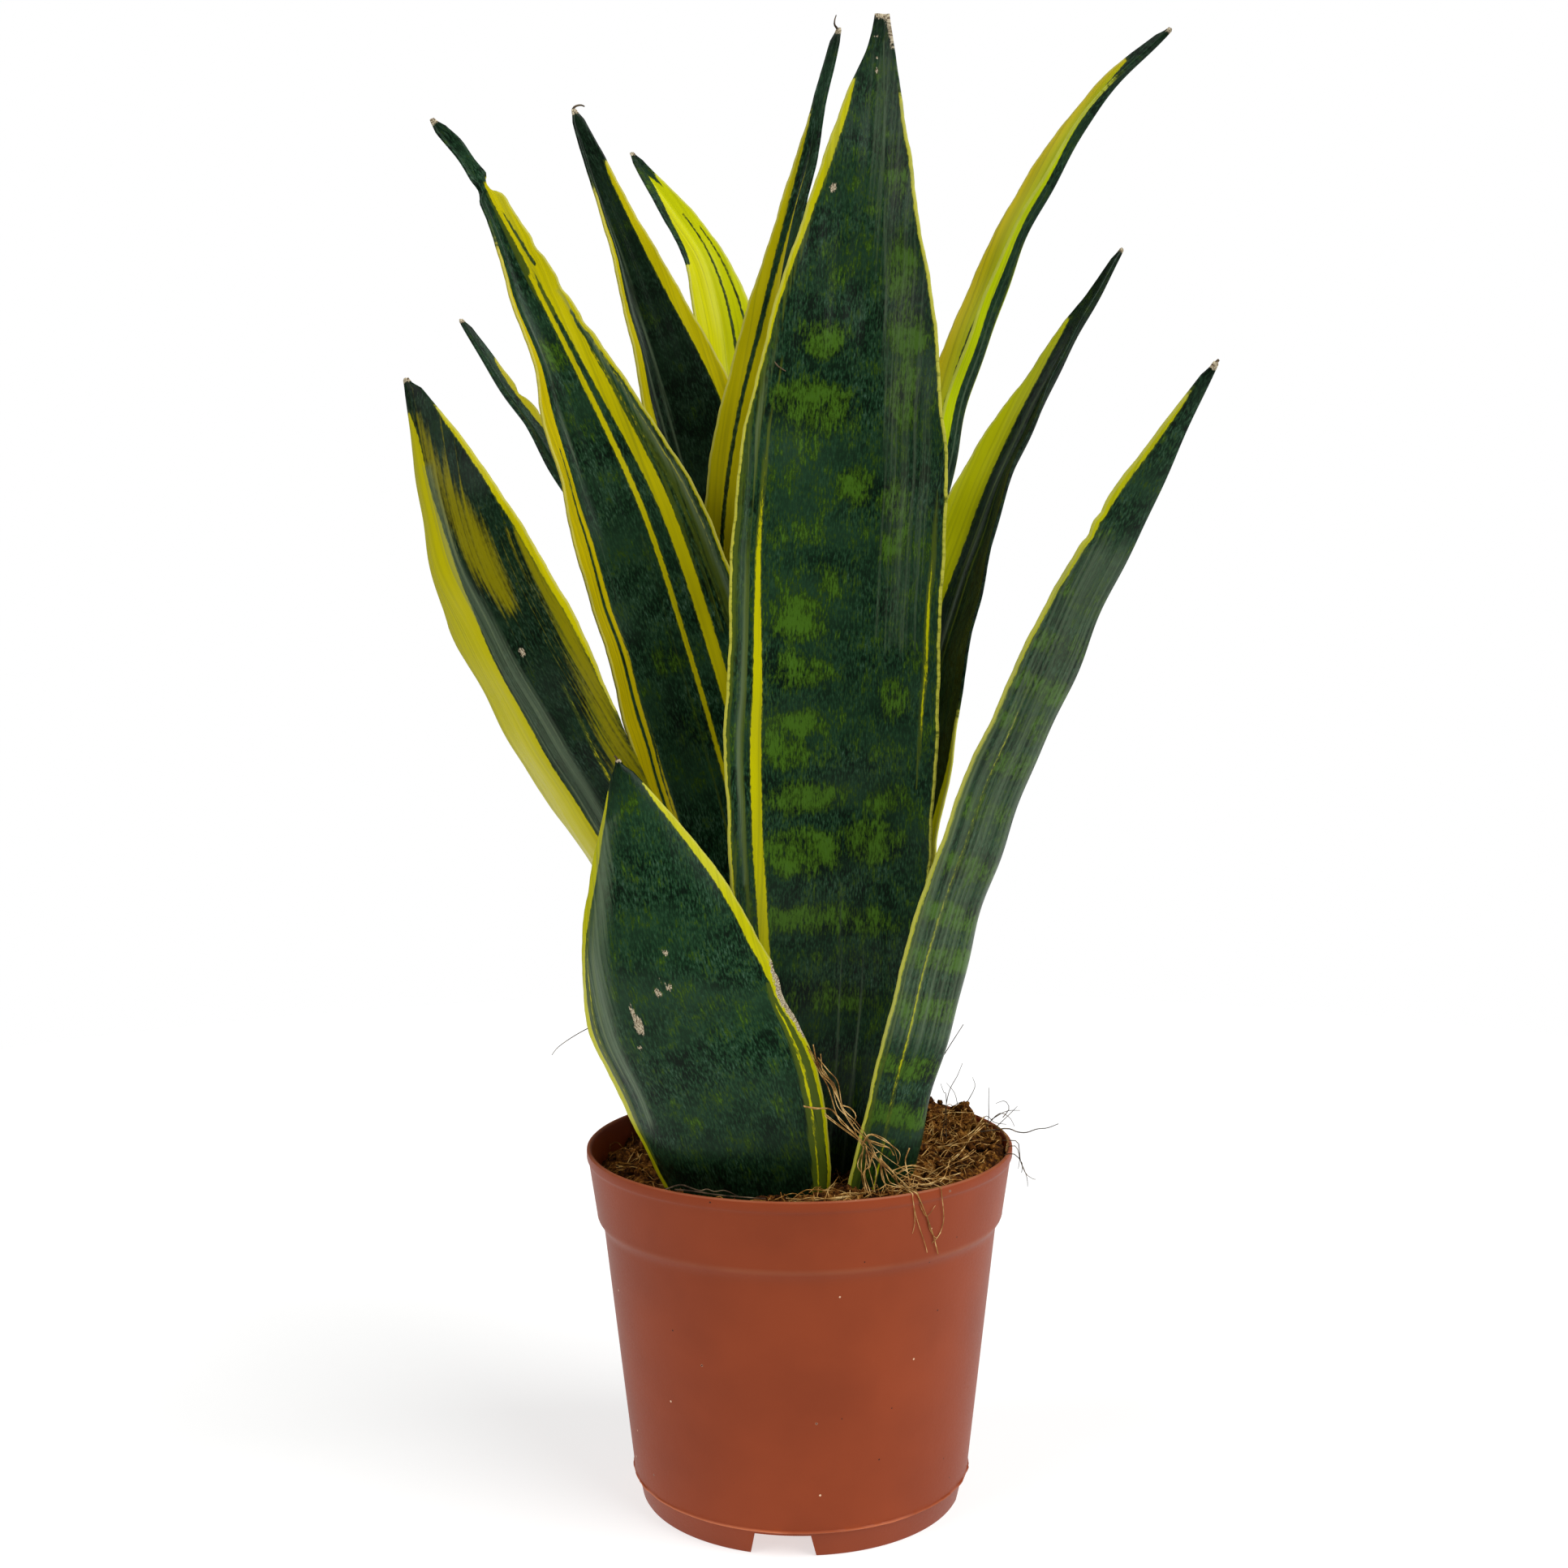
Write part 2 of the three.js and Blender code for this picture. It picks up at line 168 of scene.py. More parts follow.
@dataclass(frozen=True)
class LeafTissue(Finish):
    """Variegated sansevieria leaf, grown: a firm blade under a waxy cuticle.

    The wax gives broad, soft highlights. The tissue is dark blue-green with light-green cross-bands made
    of fine streaks along the veins, and its margins and stripes carry no chlorophyll, so they are yellow.
    Every pattern follows the blade through the mesh attributes, in mm across and along the leaf.
    """

    name: str = "waxy_variegated_leaf"
    # Painted shade, mixed over the leaves' feet and over blades in the clump's shade
    shade_black: str = "#020801"
    deep: str = "#06160a"
    body: str = "#13301a"
    teal: str = "#25432b"
    frost: str = "#486254"
    bloom_rim: str = "#24380c"
    bloom: str = "#2b430a"
    bloom_core: str = "#426614"
    olive: str = "#4c5a16"
    warm_gold: str = "#cbb600"
    lime_gold: str = "#b2be00"
    dull_gold: str = "#8c8400"
    # Colour of the painted sheen and of the real pale fine lines
    pale: str = "#6c7d62"
    cream: str = "#bdbb62"
    dry: str = "#c9bda0"
    dry_dark: str = "#5a4632"
    roughness: float = 0.32
    dry_roughness: float = 0.85
    ior: float = 1.45
    gloss_level: float = 0.12  # the wax mirrors little, so that the dark tissue stays dark
    # Each pattern's cells per mm across, along and through the blade, its detail and its roughness
    patterns: tuple[tuple[str, Point, float, float], ...] = (
        ("streaks", (2.1, 0.6, 1.0), 4.0, 0.62),  # streaks of cells, 0.5 mm wide and 1.7 mm long
        ("grain", (4.0, 2.2, 1.0), 2.0, 0.7),  # the finer grain inside them
        ("comb", (1.3, 0.15, 1.0), 3.0, 0.6),  # what a band's ends break into, 0.8 mm wide and 7 mm long
        ("veins", (1 / 0.9, 0.012, 1.0), 3.0, 0.55),  # 0.9 mm apart, and they run the whole length
        ("bands", (0.035, 0.075, 0.4), 1.5, 0.5),  # cross-bands, about 14 mm from one to the next
        ("patches", (0.2, 0.14, 1.0), 3.0, 0.6),  # what breaks a band up, 5 mm across and 7 mm along
    )
    coverings: tuple[Covering, ...] = (
        Covering("olive", "olive", -0.35, 0.35, 0.85, frays=(("veins", 2.4),)),
        Covering("haze", "haze", 0.15, 1.1, 0.85, frays=(("streaks", 0.8), ("veins", 2.5))),
        # The yellow thins to olive over the last half millimetre
        Covering("shadow", "gold", -0.55, 0.1, 0.7, frays=(("streaks", 0.9),)),
        Covering("gold", "gold", -0.12, 0.16, frays=(("streaks", 0.9),)),
        # Painted sheen over folds and over parts of some blades, and real pale fine lines
        Covering("sheen_and_pale_lines", "pale", -0.45, 1.2, 0.75, frays=(("veins", 2.2),)),
        # The horny edge of a margin, a quarter of a millimetre wide
        Covering("horn", "rim", 0.28, 0.05, 0.5),
        # Tips, torn margins and scars
        Covering("dead", "dry", -0.1, 0.25, frays=(("streaks", 3.0),)),
    )
    # How high each pattern stands in mm, of which a noise shows about half
    relief: tuple[tuple[str, float], ...] = (("veins", 0.09), ("streaks", 0.035), ("grain", 0.02))

    def paint(self, tree: bpy.types.NodeTree, shader: bpy.types.Node) -> None:
        """Lay tissue, painted shade and painted sheen over each other, from the dark body to the dead tips.

        Args:
            tree: The material's node tree.
            shader: The node that the finish feeds.
        """
        fact = {
            name: add(tree, "Attribute", attribute_name=name).outputs["Fac"]
            for name in ("gold", "olive", "pale", "bloom", "haze", "dry", "lime", "rim", "deep")
        }
        lay = add(tree, "Attribute", attribute_name="lay").outputs["Vector"]
        grown: dict[str, bpy.types.NodeSocket] = {}
        swing: dict[str, bpy.types.NodeSocket] = {}
        for name, stretch, detail, rough in self.patterns:
            stretched = add(tree, "VectorMath", {0: lay, 1: stretch}, operation="MULTIPLY").outputs[0]
            grown[name] = add(
                tree, "TexNoise", {"Vector": stretched, "Scale": 1.0, "Detail": detail, "Roughness": rough}
            ).outputs["Fac"]
            swing[name] = add(tree, "Math", {0: grown[name], 1: 0.5}, operation="SUBTRACT").outputs[0]

        # Dark tissue, mottled from near-black to a frosted blue-green, and greener in the wide bands
        tone = add(
            tree, "Math", {0: swing["patches"], 1: 0.55, 2: grown["streaks"]}, operation="MULTIPLY_ADD"
        ).outputs[0]
        dark = add(
            tree,
            "ValToRGB",
            {"Fac": tone},
            stops=[(0.4, self.deep), (0.49, self.body), (0.58, self.teal), (0.72, self.frost)],
        ).outputs["Color"]
        teal_part = add(
            tree, "MapRange", {"Value": grown["bands"], "From Min": 0.42, "From Max": 0.7, "To Max": 0.6}
        ).outputs[0]

        # Light-green cross-bands: the streaks join up where the bloom is strong
        reach = fact["bloom"]
        for name, gain in (("bands", 0.8), ("patches", 2.2)):
            reach = add(
                tree, "Math", {0: swing[name], 1: gain, 2: reach}, operation="MULTIPLY_ADD"
            ).outputs[0]
        push = add(tree, "Math", {0: reach, 1: 0.52}, operation="SUBTRACT").outputs[0]
        level = add(
            tree, "Math", {0: push, 1: 0.42, 2: grown["streaks"]}, operation="MULTIPLY_ADD"
        ).outputs[0]
        for name, gain in (("comb", 0.6), ("grain", 0.22)):
            level = add(
                tree, "Math", {0: swing[name], 1: gain, 2: level}, operation="MULTIPLY_ADD"
            ).outputs[0]
        blooming = add(
            tree,
            "MapRange",
            {"Value": level, "From Min": 0.5, "From Max": 0.575, "To Max": 0.92},
            interpolation_type="SMOOTHSTEP",
        ).outputs[0]
        green = add(
            tree,
            "ValToRGB",
            {"Fac": level},
            stops=[(0.52, self.bloom_rim), (0.62, self.bloom), (0.78, self.bloom_core)],
        ).outputs["Color"]

        # Yellow tissue, from warm to lime, with fine green veins
        gold = add(
            tree,
            "Mix",
            {FACTOR: fact["lime"], UNDER: linear(self.warm_gold), OVER: linear(self.lime_gold)},
            data_type="RGBA",
        ).outputs[MIXED]
        vein_part = add(
            tree, "MapRange", {"Value": grown["veins"], "From Min": 0.48, "From Max": 0.7, "To Max": 0.34}
        ).outputs[0]
        gold = add(
            tree, "Mix", {FACTOR: vein_part, UNDER: gold, OVER: linear(self.olive)}, data_type="RGBA"
        ).outputs[MIXED]

        part: dict[str, bpy.types.NodeSocket] = {}
        for covering in self.coverings:
            depth = fact[covering.mark]
            for name, gain in covering.frays:
                depth = add(
                    tree, "Math", {0: swing[name], 1: gain, 2: depth}, operation="MULTIPLY_ADD"
                ).outputs[0]
            part[covering.name] = add(
                tree,
                "MapRange",
                {
                    "Value": depth,
                    "From Min": covering.start,
                    "From Max": covering.end,
                    "To Max": covering.most,
                },
                interpolation_type="SMOOTHSTEP",
            ).outputs[0]
        # Only yellow tissue ends in a horny edge
        horn = add(tree, "Math", {0: part["horn"], 1: part["gold"]}, operation="MULTIPLY").outputs[0]
        dead = add(
            tree, "ValToRGB", {"Fac": grown["grain"]}, stops=[(0.4, self.dry_dark), (0.56, self.dry)]
        ).outputs["Color"]

        colour = dark
        for amount, over in (
            (teal_part, linear(self.teal)),
            (blooming, green),
            # Painted shade at the leaves' feet and over blades in the clump's shade, and darker tips
            (fact["deep"], linear(self.shade_black)),
            (part["olive"], linear(self.olive)),
            (part["haze"], linear(self.dull_gold)),
            (part["shadow"], linear(self.olive)),
            (part["gold"], gold),
            # Painted sheen and the pale fine lines
            (part["sheen_and_pale_lines"], linear(self.pale)),
            (horn, linear(self.cream)),
            (part["dead"], dead),
        ):
            colour = add(
                tree, "Mix", {FACTOR: amount, UNDER: colour, OVER: over}, data_type="RGBA"
            ).outputs[MIXED]
        tree.links.new(colour, shader.inputs["Base Color"])

        gloss = add(
            tree,
            "MapRange",
            {
                "Value": grown["grain"],
                "From Min": 0.3,
                "From Max": 0.7,
                "To Min": self.roughness - 0.05,
                "To Max": self.roughness + 0.08,
            },
        ).outputs[0]
        rough = add(
            tree, "Mix", {0: part["dead"], 2: gloss, 3: self.dry_roughness}, data_type="FLOAT"
        ).outputs[0]
        tree.links.new(rough, shader.inputs["Roughness"])
        shader.inputs["IOR"].default_value = self.ior
        shader.inputs["Specular IOR Level"].default_value = self.gloss_level

        height: bpy.types.NodeSocket | float = 0.0
        for name, high in self.relief:
            height = add(
                tree, "Math", {0: grown[name], 1: high, 2: height}, operation="MULTIPLY_ADD"
            ).outputs[0]
        bump = add(tree, "Bump", {"Height": height, "Distance": MM, "Strength": 1.0}).outputs["Normal"]
        tree.links.new(bump, shader.inputs["Normal"])


@dataclass(frozen=True)
class PotPlastic(Finish):
    """Recycled polypropylene, injection moulded: an even satin brown-orange with a faint mould grain.

    Paler along the lip and the step, where a painted highlight stands for the light they catch, with some
    wear; a few specks of dust and a flash line above the foot.
    """

    name: str = "moulded_polypropylene"
    body: str = "#8c3c1b"
    cloud: str = "#7e3416"
    # Painted highlight with some wear, along the step and the lip
    worn_and_highlight: str = "#a87352"
    flash: str = "#c4714c"
    speck: str = "#d9b596"
    soot: str = "#3a1a10"
    roughness: float = 0.42
    ior: float = 1.49
    gloss_level: float = 0.16
    step_height: float = 80.6  # mm, where the band steps in
    seam_height: float = 7.35  # mm, the mould seam above the foot
    rim_height: float = 100.0  # mm
    dust_cell: float = 5.0  # mm, of which at most one speck lies in each
    clean_share: float = 0.72  # the part of these cells without one
    pore_height: float = 0.02  # mm
    ripple_height: float = 0.03  # mm

    def paint(self, tree: bpy.types.NodeTree, shader: bpy.types.Node) -> None:
        """Cloud the plastic, lighten its ridges with a painted highlight and some wear and its seam with
        flash, then scatter dust over it.

        Args:
            tree: The material's node tree.
            shader: The node that the finish feeds.
        """
        place = add(tree, "TexCoord").outputs["Object"]
        in_mm = add(tree, "VectorMath", {0: place, "Scale": 1 / MM}, operation="SCALE").outputs[0]
        height = add(tree, "SeparateXYZ", {0: in_mm}).outputs["Z"]
        clouds = add(tree, "TexNoise", {"Vector": in_mm, "Scale": 0.035, "Detail": 3.0}).outputs["Fac"]
        cloud_part = add(
            tree, "MapRange", {"Value": clouds, "From Min": 0.35, "From Max": 0.68, "To Max": 0.75}
        ).outputs[0]
        colour = add(
            tree,
            "Mix",
            {FACTOR: cloud_part, UNDER: linear(self.body), OVER: linear(self.cloud)},
            data_type="RGBA",
        ).outputs[MIXED]

        # The pale lines, painted highlight and wear on the ridges and flash on the seam, are stronger in
        # some places than in others
        patchy = add(
            tree, "MapRange", {"Value": clouds, "From Min": 0.58, "From Max": 0.42, "To Min": 0.35}
        ).outputs[0]
        for level, half_width, tone, strength in (
            # The step and the lip: painted highlight where they catch the light, with some wear
            (self.step_height, 1.3, self.worn_and_highlight, 0.15),
            (self.rim_height, 0.5, self.worn_and_highlight, 0.4),
            (self.seam_height, 0.7, self.flash, 0.9),
        ):
            away = add(tree, "Math", {0: height, 1: level}, operation="SUBTRACT").outputs[0]
            away = add(tree, "Math", {0: away}, operation="ABSOLUTE").outputs[0]
            ridge_line = add(
                tree,
                "MapRange",
                {"Value": away, "From Min": half_width, "From Max": 0.1, "To Max": strength},
                interpolation_type="SMOOTHSTEP",
            ).outputs[0]
            part = add(tree, "Math", {0: ridge_line, 1: patchy}, operation="MULTIPLY").outputs[0]
            colour = add(
                tree, "Mix", {FACTOR: part, UNDER: colour, OVER: linear(tone)}, data_type="RGBA"
            ).outputs[MIXED]

        # Specks about half a millimetre across: the last number is their radius as a part of the cell
        dust = add(tree, "TexVoronoi", {"Vector": in_mm, "Scale": 1 / self.dust_cell}).outputs
        pick = add(tree, "SeparateColor", {0: dust["Color"]}).outputs
        for channel, tone, size in (("Red", self.speck, 0.06), ("Green", self.soot, 0.05)):
            chosen = add(
                tree, "Math", {0: pick[channel], 1: self.clean_share}, operation="GREATER_THAN"
            ).outputs[0]
            near = add(tree, "Math", {0: dust["Distance"], 1: size}, operation="LESS_THAN").outputs[0]
            part = add(tree, "Math", {0: chosen, 1: near}, operation="MULTIPLY").outputs[0]
            colour = add(
                tree, "Mix", {FACTOR: part, UNDER: colour, OVER: linear(tone)}, data_type="RGBA"
            ).outputs[MIXED]
        tree.links.new(colour, shader.inputs["Base Color"])

        # The mould's grain: pores half a millimetre apart, drawn coarser than real, over 2 mm ripples
        pores = add(tree, "TexNoise", {"Vector": in_mm, "Scale": 1.8, "Detail": 3.0}).outputs["Fac"]
        ripples = add(
            tree, "TexNoise", {"Vector": in_mm, "Scale": 0.5, "Detail": 3.0, "Roughness": 0.6}
        ).outputs["Fac"]
        rough = add(
            tree,
            "MapRange",
            {"Value": pores, "To Min": self.roughness - 0.06, "To Max": self.roughness + 0.12},
        ).outputs[0]
        tree.links.new(rough, shader.inputs["Roughness"])
        shader.inputs["IOR"].default_value = self.ior
        shader.inputs["Specular IOR Level"].default_value = self.gloss_level
        relief = add(tree, "Math", {0: pores, 1: self.pore_height}, operation="MULTIPLY").outputs[0]
        relief = add(
            tree, "Math", {0: ripples, 1: self.ripple_height, 2: relief}, operation="MULTIPLY_ADD"
        ).outputs[0]
        bump = add(tree, "Bump", {"Height": relief, "Distance": MM, "Strength": 1.0}).outputs["Normal"]
        tree.links.new(bump, shader.inputs["Normal"])


@dataclass(frozen=True)
class CoirSoil(Finish):
    """Coir compost: shredded coconut husk and pith, damp and dull, from near-black to tan."""

    name: str = "coir_compost"
    roughness: float = 0.92
    gloss_level: float = 0.1
    grain: float = 1.1  # mm, the size of a crumb of pith
    patches_per_mm: float = 0.11  # 9 mm from a damp dark patch to a dry one
    patch_gain: float = 0.55
    grain_height: float = 0.7  # mm
    stops: tuple[tuple[float, str], ...] = (
        (0.3, "#100500"),
        (0.45, "#351904"),
        (0.57, "#663c10"),
        (0.72, "#a17030"),
    )

    def paint(self, tree: bpy.types.NodeTree, shader: bpy.types.Node) -> None:
        """Colour the pith crumb by crumb, darker in the damp patches.

        Args:
            tree: The material's node tree.
            shader: The node that the finish feeds.
        """
        place = add(tree, "TexCoord").outputs["Object"]
        in_mm = add(tree, "VectorMath", {0: place, "Scale": 1 / MM}, operation="SCALE").outputs[0]
        pith = add(
            tree,
            "TexNoise",
            {"Vector": in_mm, "Scale": 1 / self.grain, "Detail": 5.0, "Roughness": 0.68},
        ).outputs["Fac"]
        patches = add(
            tree, "TexNoise", {"Vector": in_mm, "Scale": self.patches_per_mm, "Detail": 2.0}
        ).outputs["Fac"]
        shift = add(tree, "Math", {0: patches, 1: 0.5}, operation="SUBTRACT").outputs[0]
        level = add(
            tree, "Math", {0: shift, 1: self.patch_gain, 2: pith}, operation="MULTIPLY_ADD"
        ).outputs[0]
        colour = add(tree, "ValToRGB", {"Fac": level}, stops=self.stops).outputs["Color"]
        tree.links.new(colour, shader.inputs["Base Color"])
        shader.inputs["Roughness"].default_value = self.roughness
        shader.inputs["Specular IOR Level"].default_value = self.gloss_level
        relief = add(tree, "Math", {0: pith, 1: self.grain_height}, operation="MULTIPLY").outputs[0]
        bump = add(tree, "Bump", {"Height": relief, "Distance": MM, "Strength": 1.0}).outputs["Normal"]
        tree.links.new(bump, shader.inputs["Normal"])


@dataclass(frozen=True)
class PlantFibre(Finish):
    """Coir husk or dried root, grown and shredded: a thin, dull, straw-like strand."""

    name: str = "straw_fibre"
    light: str = "#d2aa68"
    mid: str = "#98682c"
    dark: str = "#55300f"
    roughness: float = 0.7
    gloss_level: float = 0.1
    grain_height: float = 0.05  # mm

    def paint(self, tree: bpy.types.NodeTree, shader: bpy.types.Node) -> None:
        """Vary the straw colour from strand to strand and a little along each.

        Args:
            tree: The material's node tree.
            shader: The node that the finish feeds.
        """
        place = add(tree, "TexCoord").outputs["Object"]
        in_mm = add(tree, "VectorMath", {0: place, "Scale": 1 / MM}, operation="SCALE").outputs[0]
        mottle = add(tree, "TexNoise", {"Vector": in_mm, "Scale": 0.35, "Detail": 4.0}).outputs["Fac"]
        colour = add(
            tree,
            "ValToRGB",
            {"Fac": mottle},
            stops=[(0.34, self.dark), (0.5, self.mid), (0.64, self.light)],
        ).outputs["Color"]
        tree.links.new(colour, shader.inputs["Base Color"])
        shader.inputs["Roughness"].default_value = self.roughness
        shader.inputs["Specular IOR Level"].default_value = self.gloss_level
        grain = add(tree, "TexNoise", {"Vector": in_mm, "Scale": 6.0, "Detail": 2.0}).outputs["Fac"]
        bump = add(
            tree, "Bump", {"Height": grain, "Distance": self.grain_height * MM, "Strength": 1.0}
        ).outputs["Normal"]
        tree.links.new(bump, shader.inputs["Normal"])


@dataclass(frozen=True)
class FloorPaint(Finish):
    """Opal acrylic light table: matt white, lit a little from below, so that shadows on it stay soft."""

    name: str = "opal_light_table"
    white: str = "#b9b9b8"
    shade: str = "#b4b4b3"
    roughness: float = 0.9
    glow: float = 0.62

    def paint(self, tree: bpy.types.NodeTree, shader: bpy.types.Node) -> None:
        """Mix two whites that hardly differ.

        Args:
            tree: The material's node tree.
            shader: The node that the finish feeds.
        """
        place = add(tree, "TexCoord").outputs["Object"]
        rolled = add(tree, "TexNoise", {"Vector": place, "Scale": 12.0, "Detail": 2.0}).outputs["Fac"]
        colour = add(
            tree,
            "Mix",
            {FACTOR: rolled, UNDER: linear(self.white), OVER: linear(self.shade)},
            data_type="RGBA",
        ).outputs[MIXED]
        tree.links.new(colour, shader.inputs["Base Color"])
        shader.inputs["Roughness"].default_value = self.roughness
        shader.inputs["Emission Color"].default_value = linear("#ffffff")
        shader.inputs["Emission Strength"].default_value = self.glow


# -----------------------------------------------------------------------------------------------------
# Shared mesh and curve work


def catmull(values: Sequence[Any], part: np.ndarray) -> np.ndarray:
    """Read evenly spaced values, joined by a Catmull-Rom curve.

    Args:
        values: Numbers or points.
        part: Where to read, from 0 to 1.

    Returns:
        One value or point for each part.
    """
    knots = np.asarray(values, float)
    flat = knots.ndim == 1
    knots = knots.reshape(len(knots), -1)
    last = len(knots) - 1
    knots = np.vstack([2 * knots[0] - knots[1], knots, 2 * knots[-1] - knots[-2]])
    at = np.clip(part, 0, 1) * last
    i = np.minimum(at.astype(int), last - 1)
    t = (at - i)[:, None]
    a, b, c, d = (knots[i + k] for k in range(4))
    out = 0.5 * (2 * b + (c - a) * t + (2 * a - 5 * b + 4 * c - d) * t**2 + (3 * b - a - 3 * c + d) * t**3)
    return out[:, 0] if flat else out


def finish_piece(
    piece: bpy.types.Object, material: bpy.types.Material, replaced: Sequence[str] = ()
) -> None:
    """Dress a piece, fix it to the frame and report it.

    Args:
        piece: The object, already in place.
        material: The finish.
        replaced: The nodes it stands for.
    """
    piece.data.materials.clear()
    piece.data.materials.append(material)
    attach(piece, ROOT_BODY)
    if replaced:
        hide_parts(*replaced)
    solid = piece.type == "MESH"
    parts = piece.data.polygons if solid else piece.data.splines
    log.info("%s: %d %s", piece.name, len(parts), "faces" if solid else "strands")


def in_scene(name: str, data: bpy.types.ID) -> bpy.types.Object:
    """Make an object of its data and put it in the scene.

    Args:
        name: What it is called.
        data: Its mesh, curve, lamp or camera.

    Returns:
        The object.
    """
    made = bpy.data.objects.new(name, data)
    bpy.context.scene.collection.objects.link(made)
    return made


def spun(profile: Sequence[Pair], steps: int) -> bmesh.types.BMesh:
    """Spin a section round the Z axis.

    Args:
        profile: Radius and height in mm of the section's corners, from the axis round to the axis.
        steps: How many facets go round.

    Returns:
        The closed shell, with its faces outwards.
    """
    bm = bmesh.new()
    corners = [bm.verts.new((radius, 0.0, z)) for radius, z in profile]
    edges = [bm.edges.new(pair) for pair in zip(corners, corners[1:])]
    bmesh.ops.spin(
        bm,
        geom=corners + edges,
        cent=(0, 0, 0),
        axis=(0, 0, 1),
        angle=math.tau,
        steps=steps,
        use_merge=True,
    )
    bmesh.ops.remove_doubles(bm, verts=bm.verts, dist=0.001)
    bmesh.ops.recalc_face_normals(bm, faces=bm.faces)
    return bm


def mesh_object(name: str, bm: bmesh.types.BMesh) -> bpy.types.Object:
    """Turn a finished bmesh, in mm, into a smooth-shaded object in metres.

    Args:
        name: What the piece is called.
        bm: Its shape, which is freed.

    Returns:
        The object.
    """
    bmesh.ops.scale(bm, vec=(MM, MM, MM), verts=bm.verts)
    mesh = bpy.data.meshes.new(name)
    bm.to_mesh(mesh)
    bm.free()
    mesh.shade_smooth()
    return in_scene(name, mesh)


@dataclass(frozen=True)
class Strand:
    """One fibre: points of its route and its radius, in mm, and the part of that left at its free end."""

    points: Points
    radius: float
    tip: float = 0.5


@dataclass
class Strands:
    """Fibres that share a finish and become one piece."""

    name: str
    slot: str
    material: bpy.types.Material
    step: float  # mm between points of a finished strand
    strands: list[Strand] = field(default_factory=list)
    fewest: int = 5
    most: int = 40

    def build(self, replaced: Sequence[str] = ()) -> None:
        """Make the piece: one open round-bevelled spline for each strand.

        Args:
            replaced: The nodes it stands for.
        """
        data = bpy.data.curves.new(self.name, "CURVE")
        data.dimensions = "3D"
        data.bevel_depth = MM
        data.bevel_resolution = 1
        data.use_fill_caps = True
        for strand in self.strands:
            knots = np.asarray(strand.points)
            run = float(np.linalg.norm(np.diff(knots, axis=0), axis=1).sum())
            count = int(np.clip(run / self.step, self.fewest, self.most))
            part = np.linspace(0, 1, count)
            route = catmull(knots, part) * MM
            spline = data.splines.new("POLY")
            spline.points.add(count - 1)
            spline.points.foreach_set("co", np.hstack([route, np.ones((count, 1))]).ravel())
            spline.points.foreach_set("radius", strand.radius * (1 + (strand.tip - 1) * part))
            spline.use_smooth = True
        finish_piece(in_scene(self.name, data), self.material, replaced)


# -----------------------------------------------------------------------------------------------------
# Pot


